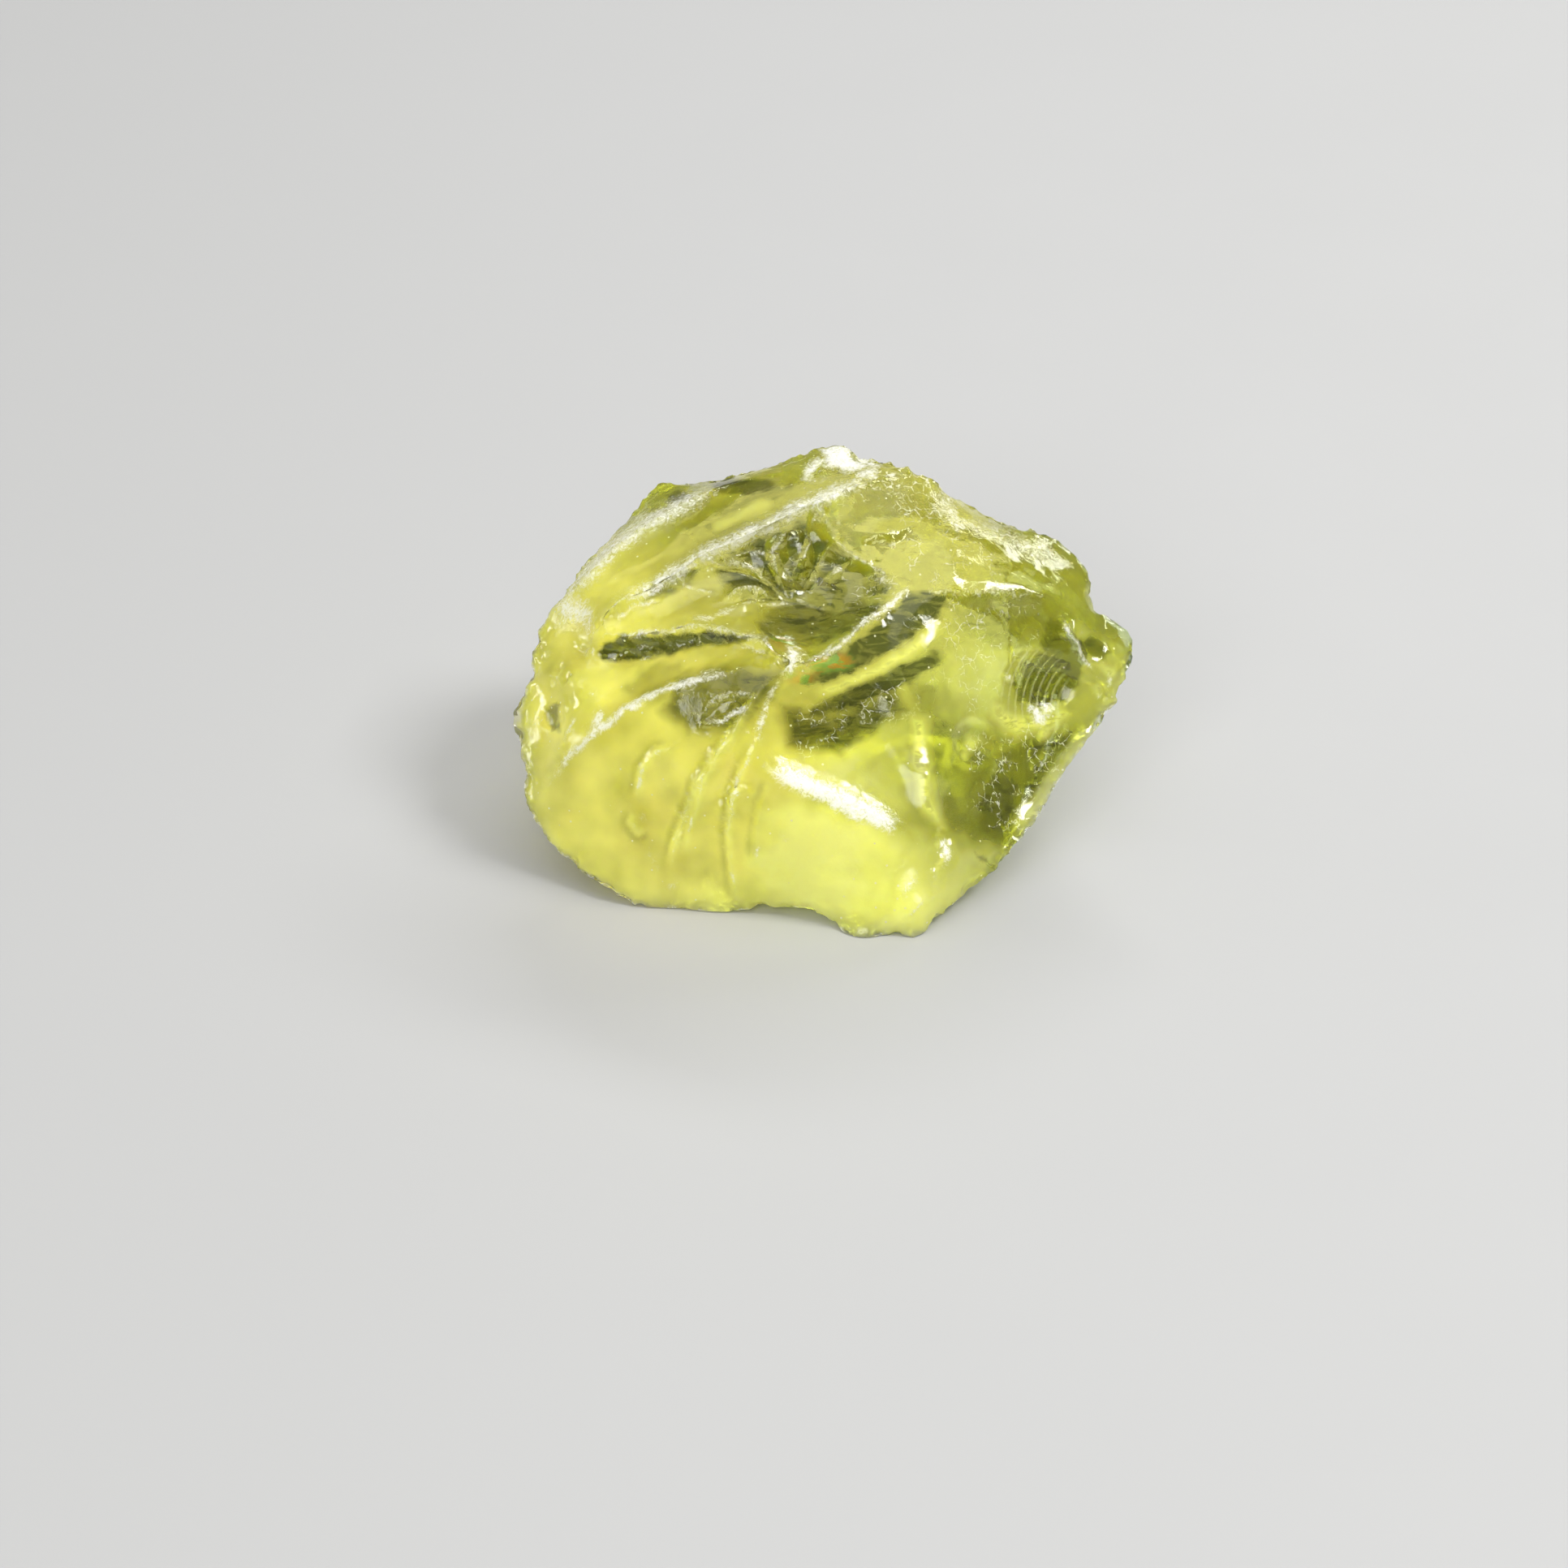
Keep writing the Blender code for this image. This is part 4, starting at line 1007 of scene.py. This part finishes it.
class PRASIOLITE_OT_stone(bpy.types.Operator):
    """Makes the stone's fine surface around the solid one"""

    bl_idname = "prasiolite.stone"
    bl_label = "Raw prasiolite"

    def execute(self, context):
        look = context.scene.prasiolite_look
        noise.seed_set(NOISE_SEED)
        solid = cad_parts[NODE]
        mesh = finely_divided(solid.data, look.levels)
        mesh.name = "stone"
        surface = Surface(mesh)
        for ridges, width, rounds in WORN:
            soften(surface, ridges, width, rounds)
        add_waves(surface)
        add_ripples(surface)
        add_hackles(surface)
        painted_blade_shade, crest_highlights = add_blades(surface)
        add_bowls(surface)
        add_leaf_chip(surface)
        near = add_chips(surface, rim_samples(solid.data))
        # Frost and painted highlights, the blade crests' among them
        surface.mark("frost_and_highlight", np.maximum(frost_and_highlight_of(surface, near), 0.6 * crest_highlights))
        painted_reflection_and_shade = painted_reflection_and_shade_of(surface)
        lime = lime_of(surface, painted_reflection_and_shade)
        # The blades add painted shade, and the patches of gathered light take darkness away
        painted_reflection_and_shade = np.clip(painted_reflection_and_shade * (1 + 1.3 * painted_blade_shade) - 0.8 * lime, 0.0, 1.0)
        surface.mark("painted_reflection_and_shade", painted_reflection_and_shade)
        surface.mark("lime", lime)
        surface.mark("milk", milk_of(surface, painted_reflection_and_shade, lime))
        surface.mark("green", green_of(surface))
        surface.mark("crackle", crackle_of(surface))
        surface.mark("fire", fire_of(surface))
        surface.mark("lined", patch_mask(surface.seen[:, :2], LINED, 1.2) * surface.front)
        surface.mark("rings", spot_gap(surface.seen[:, :2], *LINES_CENTRE) / RINGS_REACH)
        mesh.shade_smooth()
        mesh.set_sharp_from_angle(angle=SHADED_SHARP)
        mesh.materials.append(quartz_finish(look))
        stone = bpy.data.objects.new("prasiolite_stone", mesh)
        context.scene.collection.objects.link(stone)
        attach(stone, "root")
        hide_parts(NODE)
        return {"FINISHED"}


def aimed(thing, spot):
    """Turns a camera or a light to look at a spot."""
    thing.rotation_mode = "QUATERNION"
    thing.rotation_quaternion = (Vector(spot) - thing.location).to_track_quat("-Z", "Y")


def soft_box(name, azimuth, elevation, width, height, radiance):
    """A rectangular studio light. Azimuth 0 is behind the stone and 90 to its right, in degrees."""
    turn, rise = math.radians(azimuth), math.radians(elevation)
    way = Vector((math.sin(turn) * math.cos(rise), math.cos(turn) * math.cos(rise), math.sin(rise)))
    light = bpy.data.lights.new(name, "AREA")
    light.shape = "RECTANGLE"
    light.size = width
    light.size_y = height
    light.energy = radiance * math.pi * width * height
    box = bpy.data.objects.new(name, light)
    box.location = STONE_MIDDLE + way * LIGHT_DISTANCE
    aimed(box, STONE_MIDDLE)
    bpy.context.scene.collection.objects.link(box)


class PRASIOLITE_OT_stage(bpy.types.Operator):
    """Makes the floor, the studio light and the camera"""

    bl_idname = "prasiolite.stage"
    bl_label = "Stage"

    def execute(self, context):
        look = context.scene.prasiolite_stage
        half = look.floor_side / 2
        mesh = bpy.data.meshes.new("floor")
        corners = [(-half, -half, 0), (half, -half, 0), (half, half, 0), (-half, half, 0)]
        mesh.from_pydata(corners, [], [(0, 1, 2, 3)])
        mesh.materials.append(floor_finish(look))
        floor = bpy.data.objects.new("floor", mesh)
        floor.location = (0, 0, -FLOOR_DROP)
        context.scene.collection.objects.link(floor)

        for *box, radiance in SOFT_BOXES:
            soft_box(*box, radiance * look.light)

        world = bpy.data.worlds.new("studio")
        world.use_nodes = True
        backdrop = world.node_tree.nodes["Background"]
        backdrop.inputs["Color"].default_value = (1.0, 1.0, 1.0, 1.0)
        backdrop.inputs["Strength"].default_value = look.sky
        context.scene.world = world

        camera = bpy.data.objects.new("camera", bpy.data.cameras.new("camera"))
        camera.data.lens = LENS
        camera.data.sensor_width = SENSOR
        camera.data.clip_start = 0.01
        camera.location = Vector(in_frame(0.0, 0.0, EYE_DISTANCE)) * MM
        aimed(camera, Vector(in_frame(*AIM, 0.0)) * MM)
        context.scene.collection.objects.link(camera)
        context.scene.camera = camera
        context.scene.view_settings.view_transform = "Standard"
        context.scene.cycles.max_bounces = 16
        context.scene.cycles.transmission_bounces = 16
        context.scene.cycles.glossy_bounces = 10
        return {"FINISHED"}


class PRASIOLITE_PT_panel(bpy.types.Panel):
    """The stone's and the stage's sizes and colours, and the buttons that make them"""

    bl_idname = "PRASIOLITE_PT_panel"
    bl_label = "Raw prasiolite"
    bl_space_type = "VIEW_3D"
    bl_region_type = "UI"
    bl_category = "Prasiolite"

    def draw(self, context):
        for look, operator in (
            (context.scene.prasiolite_look, PRASIOLITE_OT_stone),
            (context.scene.prasiolite_stage, PRASIOLITE_OT_stage),
        ):
            box = self.layout.box()
            for name in look.__annotations__:
                box.prop(look, name)
            box.operator(operator.bl_idname)


CLASSES = (
    PrasioliteLook, StageLook, PRASIOLITE_OT_stone, PRASIOLITE_OT_stage, PRASIOLITE_PT_panel,
)


def register():
    for kind in CLASSES:
        bpy.utils.register_class(kind)
    bpy.types.Scene.prasiolite_look = PointerProperty(type=PrasioliteLook)
    bpy.types.Scene.prasiolite_stage = PointerProperty(type=StageLook)


def unregister():
    del bpy.types.Scene.prasiolite_stage
    del bpy.types.Scene.prasiolite_look
    for kind in reversed(CLASSES):
        bpy.utils.unregister_class(kind)


def main():
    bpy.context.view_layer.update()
    register()
    bpy.ops.prasiolite.stone()
    bpy.ops.prasiolite.stage()


if __name__ == "__main__":
    main()
